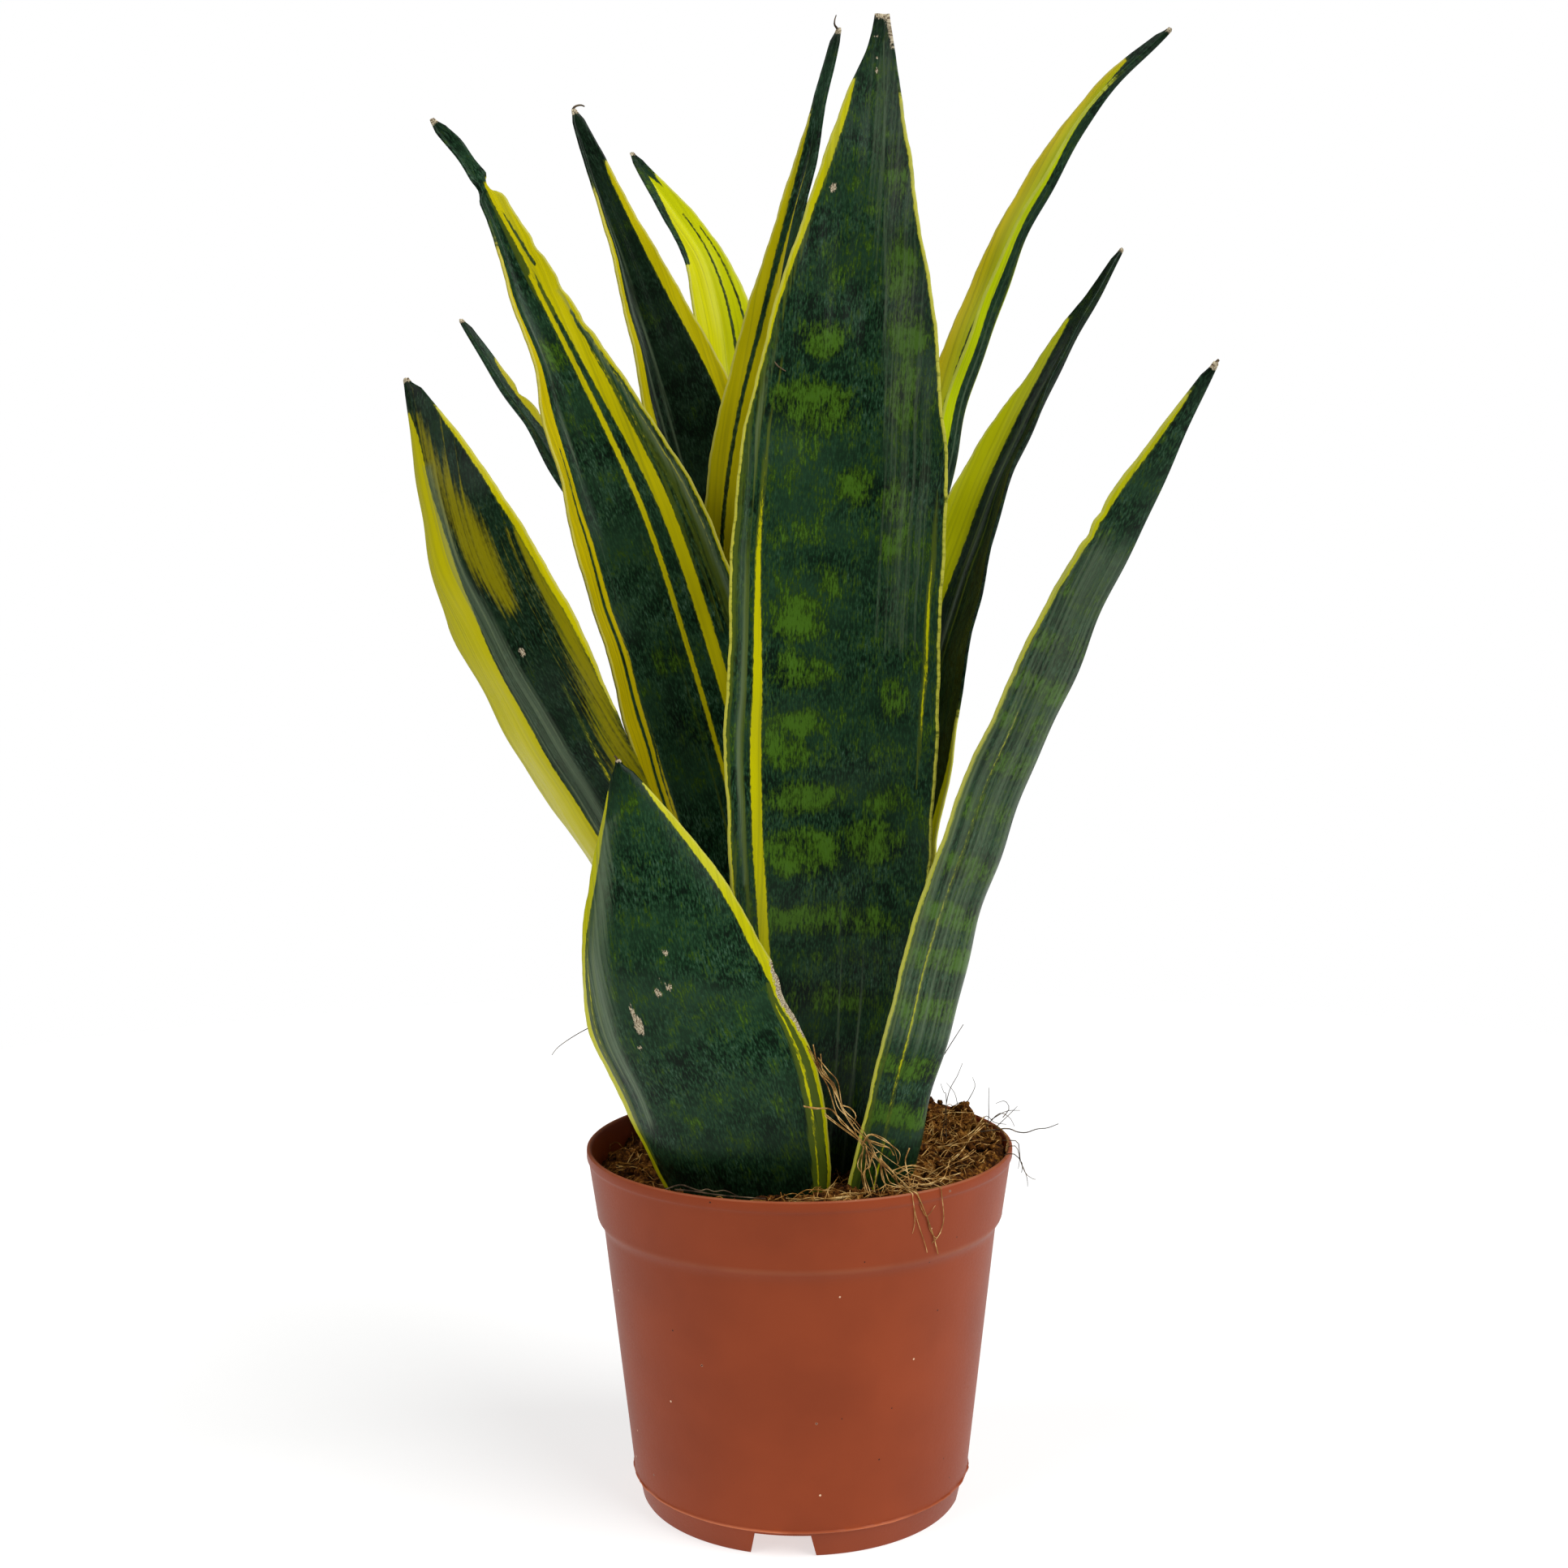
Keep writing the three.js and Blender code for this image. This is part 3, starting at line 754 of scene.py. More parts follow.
@dataclass
class Pot:
    """Twelve-centimetre nursery pot: thin wall, wide rim band with a rolled lip, notched foot ring."""

    material: bpy.types.Material
    steps: int = 256
    foot_radius: float = 44.8
    notches: int = 4
    notch_turn: float = -6.6  # degrees from the front
    notch_top: float = 15.0  # its width there
    notch_bottom: float = 18.0
    notch_height: float = 6.2
    notch_start: float = -1.0  # so that the cutter stands out below the foot
    notch_reach: float = 10.0  # how far the cutter goes to each side of the foot
    drains: int = 6
    drain_radius: float = 3.6
    drain_circle: float = 31.0
    drain_turn: float = 25.0  # degrees
    drain_height: float = 8.2  # the middle of the base plate
    drain_depth: float = 6.0
    drain_facets: int = 32
    sharp_angle: float = 38.0  # degrees
    firm_height: float = 20.0  # below it the wall stays round
    slack_height: float = 80.0  # over which it grows slack
    # How far the slack wall is out of round: part of the radius, waves round the pot, phase
    ovals: Points = ((0.0016, 2, 0.7), (0.0008, 5, 2.1))
    # The mould's flash is what lies between these heights and outside this radius
    seam_heights: Pair = (7.25, 7.9)
    seam_radius: float = 47.5
    flash: float = 0.007  # how far it stands out, as a part of the radius
    flash_dip: float = -0.35  # the part of that by which it may sink
    # Radius and height of the section's corners: up the inside, then down the outside and in below
    inside: Pairs = (
        (0.0, 9.0), (45.0, 9.0), (46.2, 9.35), (46.65, 10.4), (54.15, 76.6), (54.3, 77.6),
        (54.85, 79.0), (55.55, 80.0), (56.0, 80.8), (56.15, 81.7), (58.1, 97.4), (58.55, 99.2),
        (58.8, 99.75),
    )
    wall_corners: int = 21  # of the outside's corners, those above the flash
    outside: Pairs = (
        (59.2, 100.0), (59.65, 99.95), (59.95, 99.65), (60.0, 99.2), (60.0, 97.8), (59.93, 97.4),
        (59.75, 97.1), (59.5, 96.8), (59.4, 96.2), (57.35, 82.0), (57.25, 81.1), (57.0, 80.45),
        (56.55, 79.75), (56.0, 78.95), (55.6, 78.1), (55.4, 77.2), (55.25, 76.2), (47.75, 9.0),
        (47.7, 8.0), (47.95, 7.7), (47.95, 7.4), (47.55, 7.15), (47.0, 7.05), (46.75, 6.7),
        (45.45, 0.6), (45.15, 0.1), (44.8, 0.0), (44.25, 0.0), (43.9, 0.25), (44.9, 7.0),
        (44.6, 7.4), (0.0, 7.4),
    )

    def outer_radius(self, z: float) -> float:
        """Radius of the outside at a height, in mm.

        Args:
            z: The height, above the foot's flash.

        Returns:
            The radius.
        """
        wall = sorted((height, radius) for radius, height in self.outside[: self.wall_corners])
        heights, radii = zip(*wall)
        return float(np.interp(z, heights, radii))

    def shell(self) -> bpy.types.Object:
        """Spin the wall's section round the axis, then waver it a little as thin plastic does.

        Returns:
            The pot without its openings.
        """
        bm = spun((*self.inside, *self.outside), self.steps)
        low, high = self.seam_heights
        for vert in bm.verts:
            turn = math.atan2(vert.co.y, vert.co.x)
            slack = max(0.0, vert.co.z - self.firm_height) / self.slack_height
            waver = sum(part * math.sin(waves * turn + phase) for part, waves, phase in self.ovals)
            vert.co.xy *= 1 + slack * waver
            if low < vert.co.z < high and vert.co.xy.length > self.seam_radius:
                # The mould's flash stands proud here and there: long ripples with short ones on them
                rag = noise.noise(Vector((9 * turn, 3.0, 0.0)))
                rag += 0.6 * noise.noise(Vector((31 * turn, 7.0, 0.0)))
                vert.co.xy *= 1 + self.flash * max(self.flash_dip, rag)
        return mesh_object("nursery_pot", bm)

    def cutters(self) -> bpy.types.Object:
        """Wedges for the foot's notches and rods for the drain holes, as one object.

        Returns:
            What is cut away.
        """
        bm = bmesh.new()
        for i in range(self.notches):
            turn = Matrix.Rotation(math.radians(-90 + self.notch_turn + i * 360 / self.notches), 4, "Z")
            made = bmesh.ops.create_cube(bm, size=1.0)["verts"]
            for vert in made:
                x = self.foot_radius + 2 * self.notch_reach * vert.co.x
                below = vert.co.z < 0
                wide = self.notch_bottom if below else self.notch_top
                vert.co = (x, wide * vert.co.y, self.notch_start if below else self.notch_height)
            bmesh.ops.transform(bm, matrix=turn, verts=made)
        for i in range(self.drains):
            turn = math.radians(self.drain_turn + i * 360 / self.drains)
            x, y = self.drain_circle * math.cos(turn), self.drain_circle * math.sin(turn)
            bmesh.ops.create_cone(
                bm,
                cap_ends=True,
                segments=self.drain_facets,
                radius1=self.drain_radius,
                radius2=self.drain_radius,
                depth=self.drain_depth,
                matrix=Matrix.Translation((x, y, self.drain_height)),
            )
        return mesh_object("pot_cutters", bm)

    def build(self) -> None:
        """Cut the shell and finish it."""
        piece, cutter = self.shell(), self.cutters()
        cut = piece.modifiers.new("openings", "BOOLEAN")
        cut.operation, cut.solver, cut.object = "DIFFERENCE", "EXACT", cutter
        ready = piece.evaluated_get(bpy.context.evaluated_depsgraph_get())
        mesh = bpy.data.meshes.new_from_object(ready)
        piece.modifiers.clear()
        piece.data = mesh
        bpy.data.objects.remove(cutter)
        mesh.shade_smooth()
        mesh.set_sharp_from_angle(angle=math.radians(self.sharp_angle))
        finish_piece(piece, self.material, ["pot"])


# -----------------------------------------------------------------------------------------------------
# Leaves


class Tone(Enum):
    """What a stripe is made of."""

    GOLD = "gold"
    OLIVE = "olive"
    # Painted sheen along folds and over blades, and real pale fine lines
    PALE = "pale"
    GREEN = "green"
    DRY = "dry"
    HAZE = "haze"


@dataclass(frozen=True)
class Stripe:
    """A stripe along a leaf: its ends as parts of the length, its place across (-1 to 1) and its width.

    soft stretches its edges, and peak is the most it may reach, for a faint stripe.
    """

    tone: Tone
    ends: Pair
    across: Values
    width: Values  # mm
    soft: float = 1.0
    peak: float = 9.0


@dataclass(frozen=True)
class Blotch:
    """A light-green patch: its centre (part of the length, place across), half-sizes in mm, strength."""

    s: float
    u: float
    long: float
    wide: float
    strength: float = 0.9


@dataclass(frozen=True)
class Nick:
    """A bite out of a margin: part of the length, side (-1, 1 or 0 for both), depth and length in mm."""

    s: float
    side: int
    depth: float
    length: float


@dataclass(frozen=True)
class Leaf:
    """One leaf: the form of its blade and what grows on it.

    spine holds points of the middle line in mm. half (mm), facing, fold and curl (degrees) are evenly
    spaced along the leaf, and crease is the fold's place across, from -1 to 1. margins are the widths in
    mm of the yellow at u = -1 and at u = 1, evenly spaced from the root to the tip, and below zero where
    there is none. lime is the yellow's lean to green on each side of u = lime_at, dark_tip and dry_tip
    are mm from the tip, mottle is the base strength of the light-green streaks, and depth darkens the
    whole blade with painted shade, for a leaf that stands in the clump's shade.
    """

    node: str
    spine: Points
    half: Values
    facing: Values
    fold: Values
    curl: Values
    crease: float
    margins: tuple[Values, Values]
    slot: str = "leaf_dark"
    lime: Pair = (0.4, 0.4)
    lime_at: float = 0.0
    stripes: tuple[Stripe, ...] = ()
    blotches: tuple[Blotch, ...] = ()
    scars: tuple[Blotch, ...] = ()
    nicks: tuple[Nick, ...] = ()
    mottle: float = 0.12
    # Painted shade at the leaf's foot, where the leaves shade each other near the soil
    foot_shade: float = 0.8
    # Painted shade over the whole blade, for a leaf that stands in the clump's shade
    depth: float = 0.0
    dark_tip: float = 12.0
    dry_tip: float = 1.0
    blunt: bool = False


LEAVES: tuple[Leaf, ...] = (
    Leaf(
        node="leaf_front_tall",
        spine=((3, -22, 80), (8, -27, 160), (10.5, -30, 240), (15.5, -28, 320), (23, -18, 404.5)),
        half=(14, 21, 25.5, 29, 29, 28.5, 22, 12, 2),
        facing=(-5, -10, -12),
        fold=(14, 18, 20),
        curl=(18, 12, 6),
        crease=0.35,
        margins=(
            (0.6, 0.6, 0.6, 0.4, 0.2, 0.15, 0.15, 0.3, 1.2, 1.8, 0.0),
            (0.1, 0.1, 0.1, 0.1, 0.1, 0.1, 0.1, 0.15, 0.25, 0.3, 0.0),
        ),
        lime=(0.5, 0.6),
        stripes=(
            Stripe(
                Tone.GOLD,
                (0.0, 0.64),
                (-0.53, -0.62, -0.69, -0.73, -0.73, -0.76, -0.77),
                (2.4, 2.5, 2.7, 2.8, 2.8, 1.6, 0.2),
            ),
            Stripe(Tone.OLIVE, (0.5, 0.72), (-0.77, -0.78, -0.78), (0.8, 0.9, 0.3)),
            Stripe(Tone.OLIVE, (0.2, 0.74), (-0.84, -0.86, -0.86, -0.87, -0.88), (0.5, 1.1, 1.1, 0.9, 0.4)),
            Stripe(
                Tone.OLIVE,
                (0.2, 0.9),
                (-0.97, -0.97, -0.97, -0.96, -0.94, -0.9),
                (1.0, 1.1, 1.2, 1.8, 2.6, 1.0),
                peak=0.0,
            ),
            # Painted sheen between the left margin and the gold stripe
            Stripe(Tone.PALE, (0.3, 0.72), (-0.88, -0.89, -0.9), (1.0, 1.6, 0.6), soft=2.0, peak=0.2),
            Stripe(Tone.OLIVE, (0.38, 0.62), (0.83, 0.86, 0.89, 0.91), (0.4, 1.2, 1.6, 0.3)),
            Stripe(Tone.GOLD, (0.4, 0.58), (0.84, 0.87, 0.89, 0.9), (0.1, 0.7, 0.8, 0.1)),
            # Painted highlight along the crease, then painted sheen on the half beyond it
            Stripe(Tone.PALE, (0.5, 0.98), (0.36, 0.37, 0.37, 0.38), (0.1, 0.6, 0.8, 0.5)),
            Stripe(Tone.PALE, (0.5, 0.96), (0.62, 0.62, 0.62), (5, 8, 5), soft=9.0, peak=-0.12),
            Stripe(Tone.PALE, (0.02, 0.3), (0.2, 0.15, 0.1), (0.8, 0.9, 0.1)),
            Stripe(Tone.PALE, (0.02, 0.26), (0.46, 0.42, 0.4), (0.8, 0.9, 0.1)),
            Stripe(Tone.DRY, (0.972, 1.0), (1.0, 1.0, 0.98), (0.2, 1.0, 1.4)),
        ),
        blotches=(
            Blotch(0.87, 0.65, 9, 4, 0.85), Blotch(0.8, -0.25, 8, 6, 0.6),
            Blotch(0.79, 0.62, 12, 5, 0.95), Blotch(0.735, -0.38, 6, 8, 0.95),
            Blotch(0.745, 0.66, 8, 7, 1.0), Blotch(0.68, -0.4, 8, 13, 1.0),
            Blotch(0.69, 0.58, 9, 5.5, 1.0), Blotch(0.62, 0.1, 5.5, 6.5, 1.0),
            Blotch(0.61, 0.47, 6.5, 5, 0.95), Blotch(0.575, 0.5, 6, 5.5, 0.95),
            Blotch(0.55, -0.14, 6, 6, 0.6), Blotch(0.512, -0.4, 6.5, 9.5, 1.0),
            Blotch(0.472, -0.4, 5.5, 8.5, 0.95), Blotch(0.47, -0.17, 4.5, 5, 0.75),
            Blotch(0.49, 0.18, 5, 5, 0.4), Blotch(0.49, 0.72, 6, 4, 0.55), Blotch(0.43, -0.32, 4, 8, 0.9),
            Blotch(0.45, 0.55, 6.5, 5.5, 0.9), Blotch(0.408, -0.46, 6, 7, 0.95),
            Blotch(0.37, -0.3, 5, 13, 1.0), Blotch(0.37, 0.55, 5, 8, 0.85),
            Blotch(0.325, -0.3, 7, 14, 1.05), Blotch(0.335, 0.35, 7, 11, 1.0),
            Blotch(0.27, 0.0, 5, 24, 0.9), Blotch(0.24, 0.1, 3, 20, 0.55),
            Blotch(0.205, 0.0, 5, 24, 0.75), Blotch(0.15, 0.0, 5, 24, 0.6),
        ),
        scars=(
            Blotch(0.855, -0.66, 1.3, 0.9), Blotch(0.955, 0.0, 0.8, 0.5), Blotch(0.965, -0.1, 0.4, 0.4),
            Blotch(0.983, -0.25, 0.5, 0.8),
        ),
        nicks=(Nick(0.975, -1, 1.6, 9.0),),
        mottle=0.36,
        # Less painted shade at its foot
        foot_shade=0.3,
        dark_tip=16.0,
        dry_tip=0.9,
        blunt=True,
    ),
    Leaf(
        node="leaf_front_short",
        spine=((-11.5, -37, 80), (-21, -43, 115), (-34.5, -47, 152), (-41.5, -45, 187), (-46.5, -42, 211)),
        half=(20, 26, 29, 29.5, 28, 22.5, 12.5, 1),
        facing=(165, 165, 160),
        fold=(4, 8, 14),
        curl=(42, 36, 30),
        crease=0.5,
        margins=(
            (1.0, 1.0, 1.1, 1.2, 1.6, 2.6, 2.9, 2.6, 2.2, 1.4, 0.2),
            (3.6, 3.6, 3.4, 3.2, 2.9, 2.6, 2.5, 3.2, 4.0, 2.4, 0.2),
        ),
        lime=(0.55, 0.6),
        stripes=(
            Stripe(Tone.OLIVE, (0.0, 0.5), (-0.8, -0.82, -0.86, -0.9), (2.6, 2.4, 2.4, 1.6)),
            Stripe(Tone.GOLD, (0.0, 0.46), (-0.82, -0.84, -0.87, -0.9), (0.2, 0.5, 0.9, 0.4)),
            Stripe(Tone.OLIVE, (0.0, 0.5), (-0.9, -0.91, -0.93, -0.95), (2.4, 2.4, 2.0, 1.2)),
            Stripe(Tone.OLIVE, (0.2, 0.92), (0.86, 0.84, 0.85, 0.82), (1.4, 2.4, 2.2, 0.8)),
            Stripe(Tone.OLIVE, (0.42, 0.86), (0.72, 0.72, 0.7), (0.3, 1.1, 0.3)),
            # Painted sheen in a broad band along the blade
            Stripe(Tone.PALE, (0.3, 0.9), (0.62, 0.66, 0.6), (4.0, 8.0, 5.0), soft=4.0, peak=0.7),
            Stripe(Tone.GOLD, (0.34, 0.74), (0.84, 0.84, 0.82), (0.1, 0.4, 0.1)),
            Stripe(Tone.DRY, (0.36, 0.55), (-1.0, -0.99, -0.99, -1.0), (0.6, 2.2, 2.6, 0.4)),
        ),
        blotches=(
            Blotch(0.8, 0.1, 5, 5, 0.45), Blotch(0.5, -0.35, 5, 7, 0.45), Blotch(0.36, -0.2, 8, 16, 0.35),
            Blotch(0.2, -0.1, 9, 18, 0.35),
        ),
        scars=(
            Blotch(0.51, 0.32, 2.6, 1.3), Blotch(0.535, 0.34, 2.2, 0.6), Blotch(0.56, 0.06, 1.3, 0.7),
            Blotch(0.565, -0.05, 1.0, 0.7), Blotch(0.585, 0.02, 0.6, 0.4), Blotch(0.63, -0.1, 0.8, 0.7),
            Blotch(0.47, 0.38, 0.8, 0.6),
        ),
        nicks=(Nick(0.45, -1, 1.1, 5.0), Nick(0.52, -1, 0.5, 2.5)),
        mottle=0.3,
        dark_tip=5.0,
        dry_tip=0.4,
    ),
    Leaf(
        node="leaf_front_right",
        spine=((22.5, -32, 80), (35, -38, 130), (48, -46, 181), (64, -56, 225), (98, -80, 306)),
        half=(14.5, 16, 16.5, 15.5, 15, 11.5, 1),
        facing=(-120, -120, -120),
        fold=(30, 38, 40),
        curl=(20, 10, 6),
        crease=0.0,
        margins=((0.5,) * 10 + (0.0,), (0.3, 0.3, 0.35, 0.4, 0.5, 0.5, 0.5, 0.6, 1.0, 1.2, 0.0)),
        lime=(0.6, 0.65),
        stripes=(
            Stripe(Tone.GOLD, (0.06, 0.66), (0.6, 0.65, 0.65, 0.64, 0.68), (0.3, 0.5, 0.5, 0.4, 0.1)),
            Stripe(Tone.OLIVE, (0.0, 0.7), (0.9, 0.94, 0.95, 0.95), (1.6, 1.4, 1.0, 0.3), peak=0.1),
            # Painted sheen that lightens most of the blade
            Stripe(Tone.PALE, (0.24, 0.8), (0.0, 0.0, 0.0), (80, 80, 80), soft=12.0, peak=0.2),
        ),
        blotches=tuple(
            Blotch(s, 0.0, 3.8, 30, 1.15 * strength)
            for s, strength in (
                (0.09, 0.5), (0.155, 0.85), (0.21, 0.85), (0.28, 0.9), (0.335, 0.9), (0.385, 0.9),
                (0.44, 0.85), (0.5, 0.5), (0.555, 0.75), (0.6, 0.75), (0.645, 0.75), (0.69, 0.7),
                (0.74, 0.4),
            )
        ),
        nicks=(Nick(0.805, 1, 0.8, 2.0), Nick(0.83, 1, 0.5, 1.5)),
        mottle=0.26,
        dark_tip=5.0,
        dry_tip=1.4,
    ),
    Leaf(
        node="leaf_left_striped",
        spine=(
            (-15, 2, 80), (-18, 2, 160), (-36.5, 2, 240), (-57, 4, 300), (-85.5, 10, 366),
            (-100.5, 13, 386.5),
        ),
        half=(12, 17, 23, 24, 24, 21, 12.5, 5.5, 1.2),
        facing=(35, 40, 42),
        fold=(20, 28, 32),
        curl=(25, 12, 6),
        crease=-0.5,
        margins=(
            (8, 10, 12, 13, 13, 12, 9.6, 6.2, 1.6, -0.4, -1.0),
            (1.0, 0.8, 0.6, 0.5, 0.5, 0.5, 0.5, 0.5, 1.1, 1.2, 0.0),
        ),
        lime=(0.05, 0.35),
        stripes=(
            Stripe(
                Tone.GOLD,
                (0.0, 0.84),
                (0.36, 0.33, 0.27, 0.24, 0.27, 0.2),
                (1.2, 1.2, 1.2, 1.3, 1.5, 1.2),
            ),
            Stripe(
                Tone.GOLD,
                (0.2, 0.86),
                (0.72, 0.63, 0.54, 0.53, 0.56, 0.58, 0.66),
                (2.8, 3.0, 3.2, 3.4, 3.5, 3.7, 3.8),
            ),
            Stripe(Tone.GOLD, (0.8, 0.93), (0.82, 0.74, 0.72, 0.7), (2.0, 4.2, 3.2, 2.4)),
            Stripe(Tone.GOLD, (0.83, 0.93), (0.3, 0.36, 0.36, 0.4), (0.3, 1.8, 2.2, 2.4)),
            Stripe(Tone.OLIVE, (0.8, 0.92), (0.3, 0.22, 0.14, 0.1), (3.0, 3.6, 2.4, 1.0)),
            Stripe(Tone.OLIVE, (0.44, 0.7), (0.86, 0.85, 0.86), (0.8, 1.8, 0.8)),
            Stripe(Tone.OLIVE, (0.4, 0.76), (0.8, 0.78, 0.78), (0.4, 0.9, 0.4)),
            Stripe(Tone.PALE, (0.42, 0.82), (0.92, 0.89, 0.86), (1.0, 2.2, 0.6), soft=1.5, peak=0.5),
            Stripe(Tone.GOLD, (0.5, 0.82), (0.76, 0.75, 0.76), (0.1, 0.34, 0.1)),
            Stripe(Tone.GOLD, (0.46, 0.8), (0.93, 0.9, 0.88), (0.1, 0.4, 0.1)),
            Stripe(Tone.OLIVE, (0.5, 0.84), (0.68, 0.69, 0.74), (0.3, 0.8, 0.3)),
            Stripe(Tone.OLIVE, (0.3, 0.6), (0.14, 0.1, 0.12), (0.2, 0.6, 0.2)),
            Stripe(Tone.OLIVE, (0.5, 0.74), (0.62, 0.63, 0.7), (0.2, 0.5, 0.2)),
            Stripe(Tone.GREEN, (0.845, 0.9), (0.56, 0.48, 0.38), (0.9, 0.8, 0.3)),
            Stripe(Tone.GREEN, (0.2, 0.69), (-0.62, -0.62, -0.66, -0.74), (1.5, 1.7, 1.7, 0.6)),
            Stripe(Tone.GREEN, (0.3, 0.6), (-0.52, -0.5, -0.56), (0.3, 0.6, 0.3)),
            Stripe(Tone.PALE, (0.55, 0.86), (-0.42, -0.42, -0.44, -0.62), (0.3, 0.6, 0.6, 0.3)),
        ),
        blotches=(
            Blotch(0.77, -0.1, 6, 5, 0.8), Blotch(0.7, -0.1, 6, 6, 0.45), Blotch(0.49, 0.0, 5, 6, 0.7),
            Blotch(0.43, 0.1, 6, 8, 0.55),
        ),
        nicks=(
            Nick(0.925, 0, 3.6, 2.2), Nick(0.95, 1, 1.4, 5.5), Nick(0.95, -1, 0.5, 5.5),
            Nick(0.86, 1, 0.7, 2.5), Nick(0.82, 1, 0.8, 3.0), Nick(0.785, 1, 0.6, 2.0),
        ),
        mottle=0.18,
        dark_tip=20.0,
        dry_tip=1.5,
    ),
    Leaf(
        node="leaf_far_left",
        spine=((-32, -8, 80), (-34, -14, 150), (-67.5, -17, 211), (-93, -16, 261), (-105.5, -8, 312.5)),
        half=(13, 17, 20, 19, 24, 27, 20.5, 2),
        facing=(135, 135, 130),
        fold=(8, 12, 18),
        curl=(30, 26, 20),
        crease=0.0,
        margins=(
            (-1, -1, -1, -1, -1, -0.8, 0.4, 1.6, 1.6, 1.2, 0.0),
            (13, 15, 17, 18.5, 19.5, 22, 26, 28.5, 28, 17.5, 0.8),
        ),
        lime=(0.35, 0.45),
        stripes=(
            Stripe(Tone.OLIVE, (0.1, 0.86), (-0.86, -0.84, -0.86, -0.9, -0.98), (7, 8, 7, 5, 1), peak=0.05),
            Stripe(Tone.HAZE, (0.71, 0.96), (-0.5, -0.46, -0.4, -0.32, -0.24), (5, 11, 11, 7, 2)),
            Stripe(Tone.HAZE, (0.1, 0.8), (-0.9, -0.88, -0.9, -0.92), (6, 10, 9, 4)),
            Stripe(Tone.GOLD, (0.2, 0.62), (-0.62, -0.6, -0.6), (0.4, 0.8, 0.3)),
            # Painted sheen along the crease
            Stripe(Tone.PALE, (0.4, 0.9), (-0.2, -0.2, -0.16, -0.16), (4, 6, 5, 3), soft=2.5, peak=0.45),
        ),
        scars=(Blotch(0.67, -0.38, 1.4, 0.9), Blotch(0.72, 0.3, 0.5, 0.4)),
        nicks=(Nick(0.86, 1, 0.5, 2.0), Nick(0.76, 1, 0.6, 3.0)),
        mottle=0.05,
        # Painted shade over the whole blade, which stands in the clump's shade
        depth=0.5,
        dark_tip=7.0,
        dry_tip=0.8,
    ),
    Leaf(
        node="leaf_left_back",
        spine=((-28, 27, 80), (-36, 42, 170), (-49, 57, 250), (-104.5, 80, 342)),
        half=(8, 13, 16, 13, 7, 1.2),
        facing=(40, 50, 55),
        fold=(20, 25, 30),
        curl=(20, 12, 8),
        crease=0.0,
        margins=((-1.0,) * 11, (2.2, 2.2, 2.2, 2.2, 2.2, 2.2, 2.2, 2.2, 2.4, 1.8, -1.0)),
        lime=(0.4, 0.3),
        stripes=(Stripe(Tone.PALE, (0.1, 0.8), (-0.2, -0.15, -0.2), (0.3, 0.7, 0.3)),),
        nicks=(Nick(0.895, 1, 1.3, 2.2), Nick(0.86, 1, 0.6, 1.5)),
        dark_tip=14.0,
    ),
    Leaf(
        node="leaf_centre_dark",
        spine=((-6, 22, 80), (-7, 26, 160), (-15, 30, 240), (-36, 36, 321), (-64.5, 46, 397.5)),
        half=(12, 16, 19, 19, 18.5, 15, 7, 1.2),
        facing=(30, 36, 40),
        fold=(22, 30, 34),
        curl=(24, 12, 6),
        crease=-0.6,
        margins=(
            (8, 8, 8, 8, 8, 7.8, 7.2, 5.6, 2.8, 0.4, -1.0),
            (5, 5, 5, 5, 5, 5, 4.6, 4.2, 3.6, 1.8, 0.0),
        ),
        lime=(0.2, 0.25),
        stripes=(
            # Painted sheen along the fold
            Stripe(Tone.PALE, (0.3, 0.96), (-0.42, -0.42, -0.46, -0.56, -0.7), (0.6, 1.3, 1.3, 0.9, 0.3)),
            Stripe(Tone.PALE, (0.5, 0.9), (-0.3, -0.32, -0.42), (0.4, 0.9, 0.4)),
        ),
        blotches=(Blotch(0.87, 0.1, 7, 5, 0.5), Blotch(0.8, 0.0, 6, 6, 0.4), Blotch(0.7, 0.2, 6, 6, 0.35)),
        mottle=0.1,
        # Painted shade over the whole blade, which stands in the clump's shade
        depth=0.62,
        dark_tip=16.0,
        dry_tip=1.2,
    ),
    Leaf(
        node="leaf_centre_slim",
        spine=((12, 5, 80), (1.5, 15, 160), (-14, 16, 260), (-4.5, 15, 335), (13, 15, 411)),
        half=(9, 12, 14, 15, 12.5, 10, 4.5, 1.2),
        facing=(-20, -30, -40),
        fold=(22, 25, 28),
        curl=(20, 12, 6),
        crease=0.0,
        margins=((18, 22, 26, 29, 30, 30, 28, 16, 6.5, 3.4, 0.0), (1.5,) * 6 + (0.8,) + (-1.0,) * 4),
        lime=(0.3, 0.2),
        stripes=(
            Stripe(
                Tone.GREEN,
                (0.3, 1.0),
                (-0.6, -0.66, -0.56, -0.5, -0.36, -0.1),
                (1.0, 1.6, 1.2, 1.3, 2.4, 5.0),
            ),
            Stripe(Tone.GREEN, (0.2, 0.66), (0.3, 0.2, 0.2), (1.0, 2.0, 0.5)),
        ),
        mottle=0.06,
        dark_tip=18.0,
        dry_tip=1.5,
    ),
    Leaf(
        node="leaf_back_yellow",
        spine=((-4, 42, 80), (-5, 47, 180), (-16, 54, 270), (-25, 66, 348), (-50, 80, 393)),
        half=(10, 13, 16.5, 17, 10.5, 1),
        facing=(20, 25, 30),
        fold=(12, 16, 22),
        curl=(16, 12, 6),
        crease=0.0,
        margins=((24, 28, 32, 34, 35, 36, 35, 32, 24, 12, 0.0), (2.0,) * 10 + (0.0,)),
        slot="leaf_yellow",
        lime=(0.6, 0.75),
        stripes=(
            Stripe(Tone.GREEN, (0.86, 1.0), (-1.0, -0.9, -0.6), (2.0, 3.6, 3.0)),
            Stripe(Tone.GREEN, (0.6, 0.92), (0.3, 0.34, 0.5), (0.3, 0.9, 0.4)),
